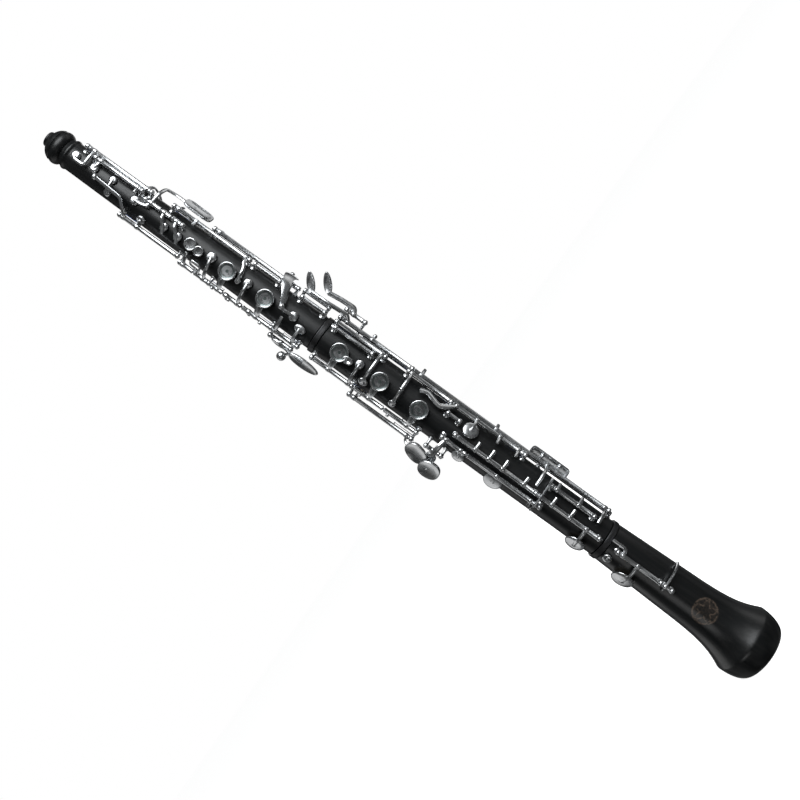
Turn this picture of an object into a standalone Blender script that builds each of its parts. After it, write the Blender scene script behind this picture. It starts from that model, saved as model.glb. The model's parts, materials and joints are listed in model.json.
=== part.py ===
"""Oboe: a bored wooden body in three joints, with hinged silver keys on steel rods.

The oboe stands on its bell. Z runs up the bore and the finger holes face -Y. A place on
the body is given by a station, an angle and a height. A station is the height in
millimetres above the bell's rim on an oboe of standard lengths, and it keeps its share of
its own joint when a joint's length is changed. An angle is counted in degrees from the
front (-Y) towards +X, and a rise is a height in millimetres above the wood.
"""
import math
from collections import namedtuple

import bmesh
import bpy
from mathutils import Matrix, Vector

MM = 0.001

# ---------------------------------------------------------------- driving dimensions (m)
BELL_LENGTH = 0.133
LOWER_LENGTH = 0.236
UPPER_LENGTH = 0.226
STANDARD_STATIONS = (0.0, 133.0, 369.0, 595.0)

CROWN_LENGTH = 0.0225
CROWN_LIP_RADIUS = 0.0050
CROWN_SHOULDER_RADIUS = 0.0092
CROWN_BULB_RADIUS = 0.0121
CROWN_NECK_RADIUS = 0.0104
CROWN_BEAD_RADIUS = 0.0110
UPPER_TOP_RADIUS = 0.0102
UPPER_FOOT_RADIUS = 0.0126
LOWER_TOP_RADIUS = 0.0131
LOWER_FOOT_RADIUS = 0.0136
BELL_TOP_RADIUS = 0.0142
BELL_WAIST_RADIUS = 0.0165
BELL_EDGE_RADIUS = 0.0253
BELL_FOOT_RADIUS = 0.0195
BELL_MOUTH_RADIUS = 0.0172
BELL_EDGE_HEIGHT = 0.017
BELL_WAIST_HEIGHT = 0.060

REED_WELL_RADIUS = 0.0035
REED_WELL_DEPTH = 0.018
BORE_TOP_RADIUS = 0.0024
BORE_FOOT_RADIUS = 0.0074

UPPER_TENON_LENGTH = 0.017
UPPER_TENON_RADIUS = 0.0080
LOWER_TENON_LENGTH = 0.018
LOWER_TENON_RADIUS = 0.0100
CORK_THICKNESS = 0.0007
CORK_INSET = 0.0025
RING_HEIGHT = 0.004
RING_THICKNESS = 0.0013
RING_PROUD = 0.0006

ROD_RADIUS = 0.00085
TUBE_RADIUS = 0.0017
POST_FOOT_RADIUS = 0.0016
POST_NECK_RADIUS = 0.0010
POST_HEAD_RADIUS = 0.0019
POST_HEAD_LENGTH = 0.0024
POST_CLEARANCE = 0.0008    # from a post to the ring above it
ARM_RADIUS = 0.0009
CUP_HEIGHT = 0.0022
TOUCH_THICKNESS = 0.0013
TOUCH_BALL_RADIUS = 0.0033

GAP = 0.0003              # between pieces that touch
SHUT_GAP = 0.0005         # under a pad that rests on its hole
OPEN_GAP = 0.0019         # under a pad that stands open
HOLE_SHARE = 0.42         # tone hole radius as a share of its cup's radius

BODY_SIDES = 24
TUBE_SIDES = 8
CUP_SIDES = 12

Lane = namedtuple("Lane", "phi rho")


# ---------------------------------------------------------------- places on the body
JOINT_TOPS = (0.0, BELL_LENGTH, BELL_LENGTH + LOWER_LENGTH,
              BELL_LENGTH + LOWER_LENGTH + UPPER_LENGTH)
BELL_TOP, LOWER_TOP, CROWN_TOP = JOINT_TOPS[1:]


def between(x, xs, ys):
    """Straight-line reading of ys over rising xs, held at the ends."""
    if x <= xs[0]:
        return ys[0]
    for low in range(len(xs) - 1):
        if x <= xs[low + 1]:
            share = (x - xs[low]) / (xs[low + 1] - xs[low])
            return ys[low] + share * (ys[low + 1] - ys[low])
    return ys[-1]


def at(station):
    """World height of a station."""
    return between(station, STANDARD_STATIONS, JOINT_TOPS)


def bell_radius(z):
    """Outside of the bell: a slow cone down to the waist, then a hollow flare to the edge."""
    if z >= BELL_WAIST_HEIGHT:
        return between(z, (BELL_WAIST_HEIGHT, BELL_LENGTH), (BELL_WAIST_RADIUS, BELL_TOP_RADIUS))
    share = (BELL_WAIST_HEIGHT - z) / (BELL_WAIST_HEIGHT - BELL_EDGE_HEIGHT)
    flare = 0.25 * share + 0.75 * share ** 3
    return BELL_WAIST_RADIUS + flare * (BELL_EDGE_RADIUS - BELL_WAIST_RADIUS)


def wood_radius(z):
    """Outside radius of the wood that keys and posts stand on."""
    if z >= LOWER_TOP:
        return between(z, (LOWER_TOP, CROWN_TOP - CROWN_LENGTH),
                       (UPPER_FOOT_RADIUS, UPPER_TOP_RADIUS))
    if z >= BELL_TOP:
        return between(z, (BELL_TOP, LOWER_TOP), (LOWER_FOOT_RADIUS, LOWER_TOP_RADIUS))
    return bell_radius(z)


def bore_radius(z):
    """The bore is one long cone from the reed well to the bell's socket."""
    return between(z, (BELL_TOP, CROWN_TOP - REED_WELL_DEPTH),
                   (BORE_FOOT_RADIUS, BORE_TOP_RADIUS))


def place(stop):
    """World point of a (height, angle, distance from the bore's axis) stop."""
    z, phi, rho = stop
    turn = math.radians(phi)
    return Vector((rho * math.sin(turn), -rho * math.cos(turn), z))


def over(station, phi, rise):
    """A stop that lies a rise above the wood."""
    z = at(station)
    return (z, phi, wood_radius(z) + rise * MM)


def below_lower_top(drop):
    """The station that lies a length in metres below the lower joint's top."""
    return STANDARD_STATIONS[2] - drop * (STANDARD_STATIONS[2] - STANDARD_STATIONS[1]) / LOWER_LENGTH


TOP_POST = below_lower_top(RING_HEIGHT + POST_FOOT_RADIUS + POST_CLEARANCE)


def lane(phi, rise, thickest):
    """A line for a hinge rod, a rise above the wood at the thickest station it passes."""
    return Lane(phi, wood_radius(at(thickest)) + rise * MM)


def beside(line, rise, thickest, clearance):
    """A line further round than another, clear of its posts and tubes by a clearance."""
    rho = lane(line.phi, rise, thickest).rho
    reach = TUBE_RADIUS + POST_HEAD_RADIUS + clearance * MM
    turn = math.acos((rho ** 2 + line.rho ** 2 - reach ** 2) / (2 * rho * line.rho))
    return Lane(line.phi + math.degrees(turn), rho)


def on(line, station):
    """A stop on a lane."""
    return (at(station), line.phi, line.rho)


# ---------------------------------------------------------------- scene and materials
for old in list(bpy.data.objects):
    bpy.data.objects.remove(old, do_unlink=True)

PARTS = bpy.data.collections.new("oboe")
WORK = bpy.data.collections.new("cutters")
bpy.context.scene.collection.children.link(PARTS)
bpy.context.scene.collection.children.link(WORK)


def make_material(name, colour, roughness, metallic):
    material = bpy.data.materials.new(name)
    material.use_nodes = True
    shader = material.node_tree.nodes["Principled BSDF"]
    shader.inputs["Base Color"].default_value = (*colour, 1.0)
    shader.inputs["Roughness"].default_value = roughness
    shader.inputs["Metallic"].default_value = metallic
    return material


WOOD = make_material("black_wood", (0.020, 0.019, 0.020), 0.40, 0.0)
SILVER = make_material("silver_plate", (0.78, 0.79, 0.80), 0.22, 1.0)
STEEL = make_material("hinge_steel", (0.55, 0.56, 0.58), 0.30, 1.0)
CORK = make_material("tenon_cork", (0.62, 0.44, 0.27), 0.85, 0.0)


# ---------------------------------------------------------------- basic solids
def work_object(name, mesh):
    """A scratch solid, hidden from the build until it is joined into a part."""
    obj = bpy.data.objects.new(name, mesh)
    WORK.objects.link(obj)
    obj.hide_render = True
    obj.display_type = "WIRE"
    return obj


def cylinder(start, end, radius, sides, end_radius=None):
    """A closed round bar between two world points."""
    axis = end - start
    bm = bmesh.new()
    bmesh.ops.create_cone(bm, cap_ends=True, segments=sides, radius1=radius,
                          radius2=radius if end_radius is None else end_radius,
                          depth=axis.length)
    turn = axis.to_track_quat("Z", "Y").to_matrix().to_4x4()
    bm.transform(Matrix.Translation((start + end) / 2) @ turn)
    mesh = bpy.data.meshes.new("bar")
    bm.to_mesh(mesh)
    bm.free()
    return work_object("bar", mesh)


def ball(centre, radius):
    bm = bmesh.new()
    bmesh.ops.create_uvsphere(bm, u_segments=10, v_segments=6, radius=radius)
    bm.transform(Matrix.Translation(centre))
    mesh = bpy.data.meshes.new("ball")
    bm.to_mesh(mesh)
    bm.free()
    return work_object("ball", mesh)


def plate(centre, face, along, half_length, half_width):
    """An oval touch plate: it faces one way and its long side runs along another."""
    face = face.normalized()
    along = (along - face * along.dot(face)).normalized()
    across = face.cross(along)
    bm = bmesh.new()
    bmesh.ops.create_cone(bm, cap_ends=True, segments=CUP_SIDES, radius1=1.0, radius2=0.86,
                          depth=TOUCH_THICKNESS)
    frame = Matrix((along * half_length, across * half_width, face)).transposed().to_4x4()
    bm.transform(Matrix.Translation(centre) @ frame)
    mesh = bpy.data.meshes.new("plate")
    bm.to_mesh(mesh)
    bm.free()
    return work_object("plate", mesh)


def ear(stop, half_length, half_width):
    """A leaf-shaped touch that rises outwards from the end of its arm."""
    face = Vector((-0.35, -0.85, 0.40))
    along = Vector((0.75, 0.0, 0.66)).normalized()
    centre = place(stop) + along * (half_length - 0.0012)
    return plate(centre, face, along, half_length, half_width)


def wire(points, radius):
    """A round bar bent through world points, as one closed mesh."""
    curve = bpy.data.curves.new("wire", "CURVE")
    curve.dimensions = "3D"
    curve.bevel_depth = radius
    curve.bevel_resolution = 1
    curve.use_fill_caps = True
    spline = curve.splines.new("POLY")
    spline.points.add(len(points) - 1)
    for knot, point in zip(spline.points, points):
        knot.co = (*point, 1.0)
    guide = work_object("wire_guide", curve)
    bpy.context.view_layer.update()
    graph = bpy.context.evaluated_depsgraph_get()
    mesh = bpy.data.meshes.new_from_object(guide.evaluated_get(graph))
    mesh.transform(guide.matrix_world)
    bpy.data.objects.remove(guide, do_unlink=True)
    bm = bmesh.new()
    bm.from_mesh(mesh)
    bmesh.ops.remove_doubles(bm, verts=bm.verts, dist=0.00001)
    bmesh.ops.recalc_face_normals(bm, faces=bm.faces)
    bm.to_mesh(mesh)
    bm.free()
    return work_object("wire", mesh)


def arm(*stops, radius=ARM_RADIUS):
    """A key arm that bends round the body between its stops."""
    points = [place(stops[0])]
    for here, there in zip(stops, stops[1:]):
        steps = max(1, math.ceil(abs(there[1] - here[1]) / 22.0))
        for step in range(1, steps + 1):
            share = step / steps
            points.append(place([a + share * (b - a) for a, b in zip(here, there)]))
    return wire(points, radius)


def cup(station, phi, radius, gap=SHUT_GAP, length=None):
    """A round or oval pad cup that lies flat over its tone hole; sizes in millimetres."""
    z = at(station)
    low = wood_radius(z) + gap
    solid = cylinder(place((z, phi, low)), place((z, phi, low + CUP_HEIGHT)),
                     radius * MM, CUP_SIDES, 0.9 * radius * MM)
    if length:
        stretch = Matrix.Diagonal((1.0, 1.0, length / radius, 1.0))
        level = Matrix.Translation((0.0, 0.0, z))
        solid.data.transform(level @ stretch @ level.inverted())
    return solid


def cup_top(station, phi, gap=SHUT_GAP):
    """The stop inside a cup's top where its arm is soldered on."""
    z = at(station)
    return (z, phi, wood_radius(z) + gap + 0.8 * CUP_HEIGHT)


# ---------------------------------------------------------------- joining solids
def combine(base, tools, operation):
    """Union tools into base, or cut them from it, and leave one mesh."""
    for tool in tools:
        step = base.modifiers.new(operation.lower(), "BOOLEAN")
        step.operation = operation
        step.solver = "EXACT"
        step.object = tool
    bpy.context.view_layer.update()
    graph = bpy.context.evaluated_depsgraph_get()
    mesh = bpy.data.meshes.new_from_object(base.evaluated_get(graph))
    base.modifiers.clear()
    base.data = mesh
    for tool in tools:
        bpy.data.objects.remove(tool, do_unlink=True)
    return base


def finish(solid, name, material, origin=None):
    """Name a solid, give it its material and put its origin on its hinge."""
    WORK.objects.unlink(solid)
    PARTS.objects.link(solid)
    solid.hide_render = False
    solid.display_type = "TEXTURED"
    solid.name = name
    solid.data.name = name
    solid.data.materials.clear()
    solid.data.materials.append(material)
    if origin is not None:
        solid.data.transform(Matrix.Translation(-origin))
        solid.location = origin
    solid.data.shade_smooth()
    solid.data.set_sharp_from_angle(angle=math.radians(35))
    return solid


# ---------------------------------------------------------------- turned wood
def turned(outline, sides=BODY_SIDES):
    """Spin a closed outline of (radius, height) points, outer side downwards."""
    mesh = bpy.data.meshes.new("turned")
    bm = bmesh.new()
    ring = [bm.verts.new((radius, 0.0, z)) for radius, z in outline]
    for here, there in zip(ring, ring[1:] + ring[:1]):
        bm.edges.new((here, there))
    bm.to_mesh(mesh)
    bm.free()
    solid = work_object("turned", mesh)
    screw = solid.modifiers.new("lathe", "SCREW")
    screw.steps = sides
    screw.render_steps = sides
    screw.use_merge_vertices = True
    screw.merge_threshold = 0.00001
    return combine(solid, [], "UNION")


def drill(solid, holes):
    """Cut tone holes, each given as (station, angle, cup radius), from wall to bore."""
    drills = []
    for station, phi, radius in holes:
        z = at(station)
        reach = wood_radius(z) + 0.003
        drills.append(cylinder(place((z, phi, 0.0003)), place((z, phi, reach)),
                               HOLE_SHARE * radius * MM, 8))
    return combine(solid, drills, "DIFFERENCE")


def step_for_ring(radius):
    """Wood radius under a socket ring."""
    return radius + RING_PROUD - RING_THICKNESS - GAP


def upper_joint():
    shoulder = LOWER_TOP + GAP
    well = CROWN_TOP - REED_WELL_DEPTH
    neck = CROWN_TOP - CROWN_LENGTH
    tenon_end = shoulder - UPPER_TENON_LENGTH
    outline = [
        (CROWN_LIP_RADIUS, CROWN_TOP),
        (CROWN_SHOULDER_RADIUS, CROWN_TOP - 0.0046),
        (CROWN_BULB_RADIUS - 0.0012, CROWN_TOP - 0.0069),
        (CROWN_BULB_RADIUS - 0.0003, CROWN_TOP - 0.0098),
        (CROWN_BULB_RADIUS, CROWN_TOP - 0.0124),
        (CROWN_BULB_RADIUS - 0.0007, CROWN_TOP - 0.0148),
        (CROWN_NECK_RADIUS, CROWN_TOP - 0.0166),
        (CROWN_BEAD_RADIUS, CROWN_TOP - 0.0194),
        (UPPER_TOP_RADIUS, neck),
        (UPPER_FOOT_RADIUS, shoulder),
        (UPPER_TENON_RADIUS, shoulder),
        (UPPER_TENON_RADIUS, tenon_end),
        (bore_radius(tenon_end), tenon_end),
        (BORE_TOP_RADIUS, well),
        (REED_WELL_RADIUS, well),
        (REED_WELL_RADIUS, CROWN_TOP),
    ]
    holes = [(568.6, 17, 3.2), (553.6, 18, 3.2), (538.8, 22, 2.8), (519.0, 9, 3.3),
             (493.0, -5, 3.0), (481.8, -5, 3.0), (471.7, 0, 4.4), (455.2, 5, 3.6),
             (441.0, 0, 6.3), (425.4, 5, 3.3), (410.0, 0, 6.4), (388.0, 5, 3.4),
             (379.6, -14, 2.8)]
    finish(drill(turned(outline), holes), "upper_joint", WOOD)
    cork_ring("upper_tenon_cork", UPPER_TENON_RADIUS, shoulder, UPPER_TENON_LENGTH)


def socket_radius(tenon_radius):
    """A socket clears its tenon by the cork and a gap on each side of it."""
    return tenon_radius + CORK_THICKNESS + 2 * GAP


def cork_ring(name, tenon_radius, shoulder, length):
    """The cork that lines a tenon, with a gap to the tenon."""
    inner = tenon_radius + GAP
    top = shoulder - CORK_INSET
    low = shoulder - length + CORK_INSET
    outline = [(inner + CORK_THICKNESS, top), (inner + CORK_THICKNESS, low),
               (inner, low), (inner, top)]
    finish(turned(outline), name, CORK)


def socket_ring(name, wood, top):
    """The silver ring that keeps a socket's mouth from splitting."""
    outer = wood + RING_PROUD
    inner = outer - RING_THICKNESS
    outline = [(outer, top), (outer, top - RING_HEIGHT), (inner, top - RING_HEIGHT),
               (inner, top)]
    finish(turned(outline), name, SILVER)


def lower_joint():
    shoulder = BELL_TOP + GAP
    socket = socket_radius(UPPER_TENON_RADIUS)
    socket_floor = LOWER_TOP - UPPER_TENON_LENGTH - GAP
    step = step_for_ring(LOWER_TOP_RADIUS)
    ring_foot = LOWER_TOP - RING_HEIGHT - GAP
    tenon_end = shoulder - LOWER_TENON_LENGTH
    outline = [
        (step, LOWER_TOP),
        (step, ring_foot),
        (LOWER_TOP_RADIUS, ring_foot),
        (LOWER_FOOT_RADIUS, shoulder),
        (LOWER_TENON_RADIUS, shoulder),
        (LOWER_TENON_RADIUS, tenon_end),
        (BORE_FOOT_RADIUS, tenon_end),
        (bore_radius(socket_floor), socket_floor),
        (socket, socket_floor),
        (socket, LOWER_TOP),
    ]
    holes = [(349.0, 0, 6.5), (333.4, 5, 3.2), (316.0, 0, 6.5), (301.0, -33, 3.0),
             (284.0, 0, 6.6), (248.0, 33, 5.8), (244.7, -42, 4.8), (216.2, -42, 7.0),
             (325.4, -31, 3.0), (147.1, -52, 7.2), (323.0, -94, 4.0)]
    finish(drill(turned(outline), holes), "lower_joint", WOOD)
    cork_ring("lower_tenon_cork", LOWER_TENON_RADIUS, shoulder, LOWER_TENON_LENGTH)
    socket_ring("lower_joint_socket_ring", LOWER_TOP_RADIUS, LOWER_TOP)


def bell():
    socket = socket_radius(LOWER_TENON_RADIUS)
    socket_floor = BELL_TOP - LOWER_TENON_LENGTH - GAP
    step = step_for_ring(BELL_TOP_RADIUS)
    ring_foot = BELL_TOP - RING_HEIGHT - GAP
    flare = [BELL_WAIST_HEIGHT - share * (BELL_WAIST_HEIGHT - BELL_EDGE_HEIGHT)
             for share in (0.0, 0.3, 0.55, 0.75, 0.9, 1.0)]
    outline = [(step, BELL_TOP), (step, ring_foot), (BELL_TOP_RADIUS, ring_foot)]
    outline += [(bell_radius(z), z) for z in flare]
    outline += [
        (BELL_EDGE_RADIUS - 0.0004, 0.72 * BELL_EDGE_HEIGHT),
        (BELL_FOOT_RADIUS + 0.72 * (BELL_EDGE_RADIUS - BELL_FOOT_RADIUS),
         0.38 * BELL_EDGE_HEIGHT),
        (BELL_FOOT_RADIUS + 0.34 * (BELL_EDGE_RADIUS - BELL_FOOT_RADIUS),
         0.10 * BELL_EDGE_HEIGHT),
        (BELL_FOOT_RADIUS, 0.0),
        (BELL_MOUTH_RADIUS, 0.0),
        (BELL_MOUTH_RADIUS - 0.0010, BELL_EDGE_HEIGHT),
        (0.5 * (BELL_MOUTH_RADIUS + BORE_FOOT_RADIUS), BELL_WAIST_HEIGHT),
        (BORE_FOOT_RADIUS, socket_floor),
        (socket, socket_floor),
        (socket, BELL_TOP),
    ]
    finish(drill(turned(outline), [(107.4, -51, 8.0)]), "bell", WOOD)
    socket_ring("bell_socket_ring", BELL_TOP_RADIUS, BELL_TOP)


# ---------------------------------------------------------------- hinge rods and posts
def hinge_rod(name, line, posts):
    """A steel rod screwed into the posts that stand on the wood at the given stations."""
    ends = (at(min(posts)), at(max(posts)))
    overhang = POST_HEAD_LENGTH / 2 + 0.0006
    rod = cylinder(place((ends[0] - overhang, line.phi, line.rho)),
                   place((ends[1] + overhang, line.phi, line.rho)), ROD_RADIUS, TUBE_SIDES)
    solids = []
    for station in posts:
        z = at(station)
        solids.append(cylinder(place((z - POST_HEAD_LENGTH / 2, line.phi, line.rho)),
                               place((z + POST_HEAD_LENGTH / 2, line.phi, line.rho)),
                               POST_HEAD_RADIUS, 6))
        foot = place((z, line.phi, wood_radius(z) + GAP))
        neck = place((z, line.phi, line.rho - 0.3 * POST_HEAD_RADIUS))
        solids.append(cylinder(foot, neck, POST_FOOT_RADIUS, 5, POST_NECK_RADIUS))
    finish(combine(rod, solids, "UNION"), name, STEEL)


def key(name, line, span, *solids):
    """A key: its hinge tube over a rod, with arms, cups and touches soldered to it."""
    top, low = at(max(span)) - GAP, at(min(span)) + GAP
    tube = cylinder(place((low, line.phi, line.rho)), place((top, line.phi, line.rho)),
                    TUBE_RADIUS, TUBE_SIDES)
    combine(tube, list(solids), "UNION")
    bore = cylinder(place((low - 0.004, line.phi, line.rho)),
                    place((top + 0.004, line.phi, line.rho)), ROD_RADIUS + GAP, TUBE_SIDES)
    combine(tube, [bore], "DIFFERENCE")
    finish(tube, name, SILVER, place(((top + low) / 2, line.phi, line.rho)))


def span_between(high_post, low_post):
    """Stations between which a tube turns freely when it fills the way between two posts."""
    inset = POST_HEAD_LENGTH / 2 / MM
    return (high_post - inset, low_post + inset)


# ---------------------------------------------------------------- lanes
OCTAVE_INNER = lane(42, 3.9, 518.6)
OCTAVE_OUTER = beside(OCTAVE_INNER, 4.0, 513.5, 0.2)
SIDE_OCTAVE = lane(28, 3.6, 483.0)
UPPER_LEFT_SIDE = lane(62, 3.9, 434.0)
G_SHARP_LINE = lane(80, 4.8, 396.5)
TRILL_LINE = lane(-55, 3.6, 475.0)
LEFT_STACK = lane(-62, 4.2, 375.0)
RIGHT_TRILL_LINE = lane(-80, 7.4, 378.0)

RESONANCE_LINE = lane(58, 4.3, 322.6)
LOW_D_LINE = lane(64.5, 4.2, 208.5)
LOW_B_FLAT_LINE = beside(LOW_D_LINE, 5.1, 141.0, 0.45)
LEFT_LEVER_LINE = lane(92, 11.2, 347.5)
RIGHT_STACK = lane(-55, 4.3, 276.5)
E_FLAT_LINE = lane(-72, 8.2, 276.5)
LOW_C_TOUCH_LINE = lane(-66, 6.3, 253.5)
LOW_C_LINE = lane(-19, 4.1, 181.5)
LOW_B_LINE = lane(2, 4.1, 137.5)
BRIDGE_LINE = lane(36, 3.9, 148.2)
BELL_LINE = lane(3, 3.7, 88.0)


def upper_rods():
    hinge_rod("octave_rod", OCTAVE_OUTER, (566.0, 513.5))
    hinge_rod("d_trill_rod", OCTAVE_INNER, (556.2, 518.6))
    hinge_rod("side_octave_rod", SIDE_OCTAVE, (512.6, 483.0))
    hinge_rod("upper_vent_rod", UPPER_LEFT_SIDE, (496.0, 434.0))
    hinge_rod("g_sharp_rod", G_SHARP_LINE, (466.0, 397.0))
    hinge_rod("c_trill_rod", TRILL_LINE, (523.0, 475.6))
    hinge_rod("left_hand_stack_rod", LEFT_STACK, (471.8, 448.0, 396.6, 375.0))
    hinge_rod("right_trill_rod", RIGHT_TRILL_LINE, (395.0, 378.0))


def lower_rods():
    hinge_rod("f_resonance_rod", RESONANCE_LINE, (TOP_POST, 322.6))
    hinge_rod("low_d_rod", LOW_D_LINE, (304.2, 269.5, 208.5))
    hinge_rod("low_b_flat_rod", LOW_B_FLAT_LINE, (TOP_POST, 303.5, 141.0))
    hinge_rod("left_lever_rod", LEFT_LEVER_LINE, (TOP_POST, 347.5))
    hinge_rod("right_hand_stack_rod", RIGHT_STACK, (TOP_POST, 329.7, 276.5))
    hinge_rod("e_flat_rod", E_FLAT_LINE, (328.0, 276.5))
    hinge_rod("low_c_touch_rod", LOW_C_TOUCH_LINE, (266.0, 253.5))
    hinge_rod("low_c_rod", LOW_C_LINE, (261.0, 181.5))
    hinge_rod("low_b_rod", LOW_B_LINE, (254.7, 189.0, 137.5))
    hinge_rod("bridge_rod", BRIDGE_LINE, (182.8, 148.2))


# ---------------------------------------------------------------- keys of the upper joint
def octave_and_trill_keys():
    key("thumb_octave_key", OCTAVE_OUTER, span_between(566.0, 513.5),
        arm(on(OCTAVE_OUTER, 560.0), over(560.0, 30, 4.4), over(560.0, 4, 3.2),
            over(569.0, 4, 3.0), cup_top(568.6, 17)),
        cup(568.6, 17, 3.2),
        arm(on(OCTAVE_OUTER, 517.5), over(516.0, 110, 4.2), over(508.0, 168, 4.6)),
        plate(place(over(504.0, 172, 5.2)), place((0, 175, 1.0)), Vector((0, 0, 1)),
              0.0085, 0.0050))
    key("d_trill_key", OCTAVE_INNER, span_between(556.2, 518.6),
        arm(on(OCTAVE_INNER, 552.3), cup_top(553.6, 18)),
        cup(553.6, 18, 3.2),
        arm(on(OCTAVE_INNER, 522.2), over(521.7, 24, 4.6)))
    key("side_octave_key", SIDE_OCTAVE, (511.0, 500.6),
        arm(on(SIDE_OCTAVE, 509.2), over(509.4, 14, 4.0), over(514.0, 10, 4.0),
            cup_top(519.0, 9)),
        cup(519.0, 9, 3.3),
        arm(on(SIDE_OCTAVE, 508.4), over(508.0, 50, 7.6), over(507.4, 76, 9.2),
            over(500.0, 82, 9.3), over(484.0, 79, 9.4)),
        plate(place(over(481.5, 77, 9.8)), place((0, 58, 1.0)), Vector((0.05, 0, 1)),
              0.0112, 0.0044))
    key("c_trill_key", TRILL_LINE, span_between(523.0, 475.6),
        arm(on(TRILL_LINE, 520.2), over(520.2, -42, 4.4), over(527.6, -8, 3.6),
            over(549.0, -3, 3.4)),
        arm(cup_top(537.8, -26), over(538.2, -3, 3.6), cup_top(538.8, 22), radius=0.0007),
        cup(537.8, -26, 2.6),
        cup(538.8, 22, 2.8),
        arm(on(TRILL_LINE, 509.0), cup_top(509.0, -33)),
        cup(509.0, -34, 3.2))


def vent_keys():
    key("upper_c_vent_key", SIDE_OCTAVE, (500.0, 492.2),
        arm(on(SIDE_OCTAVE, 497.6), over(497.0, 12, 4.4), cup_top(493.0, -5),
            over(491.6, -24, 3.0)),
        cup(493.0, -5, 3.0))
    key("upper_b_flat_vent_key", SIDE_OCTAVE, (491.6, 484.2),
        arm(on(SIDE_OCTAVE, 487.6), over(486.6, 12, 4.4), cup_top(481.8, -5),
            over(480.2, -22, 3.0)),
        cup(481.8, -5, 3.0))
    key("b_flat_vent_key", UPPER_LEFT_SIDE, span_between(496.0, 434.0),
        arm(on(UPPER_LEFT_SIDE, 437.2), over(436.8, 50, 4.4), over(432.6, 26, 4.2),
            cup_top(432.0, -6)),
        cup(432.0, -6, 2.2),
        arm(on(UPPER_LEFT_SIDE, 492.5), over(492.0, 88, 4.6)),
        arm(on(UPPER_LEFT_SIDE, 478.0), over(478.0, 44, 4.6)))


def left_hand_keys():
    line = LEFT_STACK
    key("half_hole_plate", line, (470.6, 461.0),
        arm(on(line, 469.4), over(470.4, -30, 4.6), cup_top(471.7, 0)),
        cup(471.7, 0, 4.4),
        arm(over(471.7, 0, 1.6), over(464.6, -3, 1.6), radius=0.0008),
        cup(464.6, -3, 3.6))
    key("half_hole_vent_key", line, (460.4, 449.2),
        arm(on(line, 453.0), over(453.4, -30, 4.6), cup_top(455.2, 5)),
        cup(455.2, 5, 3.6),
        arm(on(line, 457.6), over(457.6, -32, 4.4), over(465.2, -30, 4.4),
            over(465.2, -46, 4.4), over(457.6, -48, 4.4), radius=0.0007))
    key("a_key", line, (446.8, 436.8),
        arm(on(line, 441.0), over(441.0, -30, 5.0), cup_top(441.0, 0, OPEN_GAP)),
        cup(441.0, 0, 6.3, OPEN_GAP))
    key("c_vent_key", line, (436.2, 421.2),
        arm(on(line, 424.6), over(424.6, -30, 4.6), cup_top(425.4, 5)),
        cup(425.4, 5, 3.3),
        arm(on(line, 433.6), over(433.6, -84, 6.0)))
    key("g_key", line, (420.6, 397.8),
        arm(on(line, 409.0), over(409.4, -30, 5.2), cup_top(410.0, 0, OPEN_GAP)),
        cup(410.0, 0, 6.4, OPEN_GAP),
        arm(on(line, 415.0), over(415.0, -86, 5.6)))
    key("f_sharp_vent_key", line, (395.4, 376.2),
        arm(on(line, 380.0), over(380.0, -34, 4.4), cup_top(379.6, -14)),
        cup(379.6, -14, 2.8, SHUT_GAP, 4.4),
        arm(on(line, 393.0), over(393.4, -26, 4.6)))


def left_side_keys():
    key("g_sharp_key", G_SHARP_LINE, span_between(466.0, 397.0),
        arm(on(G_SHARP_LINE, 402.6), over(401.6, 56, 6.4), over(399.6, 28, 5.0),
            over(398.6, 4, 4.2), cup_top(388.0, 5)),
        cup(388.0, 5, 3.4),
        arm(on(G_SHARP_LINE, 404.5), over(404.5, 90, 9.5)),
        plate(place(over(405.6, 88, 9.8)), place((0, 62, 1.0)), Vector((0.1, 0, 1)),
              0.0068, 0.0042),
        arm(on(G_SHARP_LINE, 462.0), over(462.0, 102, 6.6)))
    line = RIGHT_TRILL_LINE
    key("right_hand_trill_key", line, span_between(395.0, 378.0),
        arm(on(line, 386.0), over(386.0, -68, 9.4), over(376.0, -62, 11.0),
            over(366.0, -60, 11.2)),
        plate(place(over(386.0, -67, 9.6)), place((0, -58, 1.0)), Vector((0, 0, 1)),
              0.0060, 0.0030),
        plate(place(over(364.8, -61, 11.2)), place((0, -38, 1.0)), Vector((0, 0, 1)),
              0.0122, 0.0040),
        arm(over(376.0, -62, 11.0), over(380.0, -71, 14.6)),
        ball(place(over(380.2, -72, 15.0)), TOUCH_BALL_RADIUS))


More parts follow.
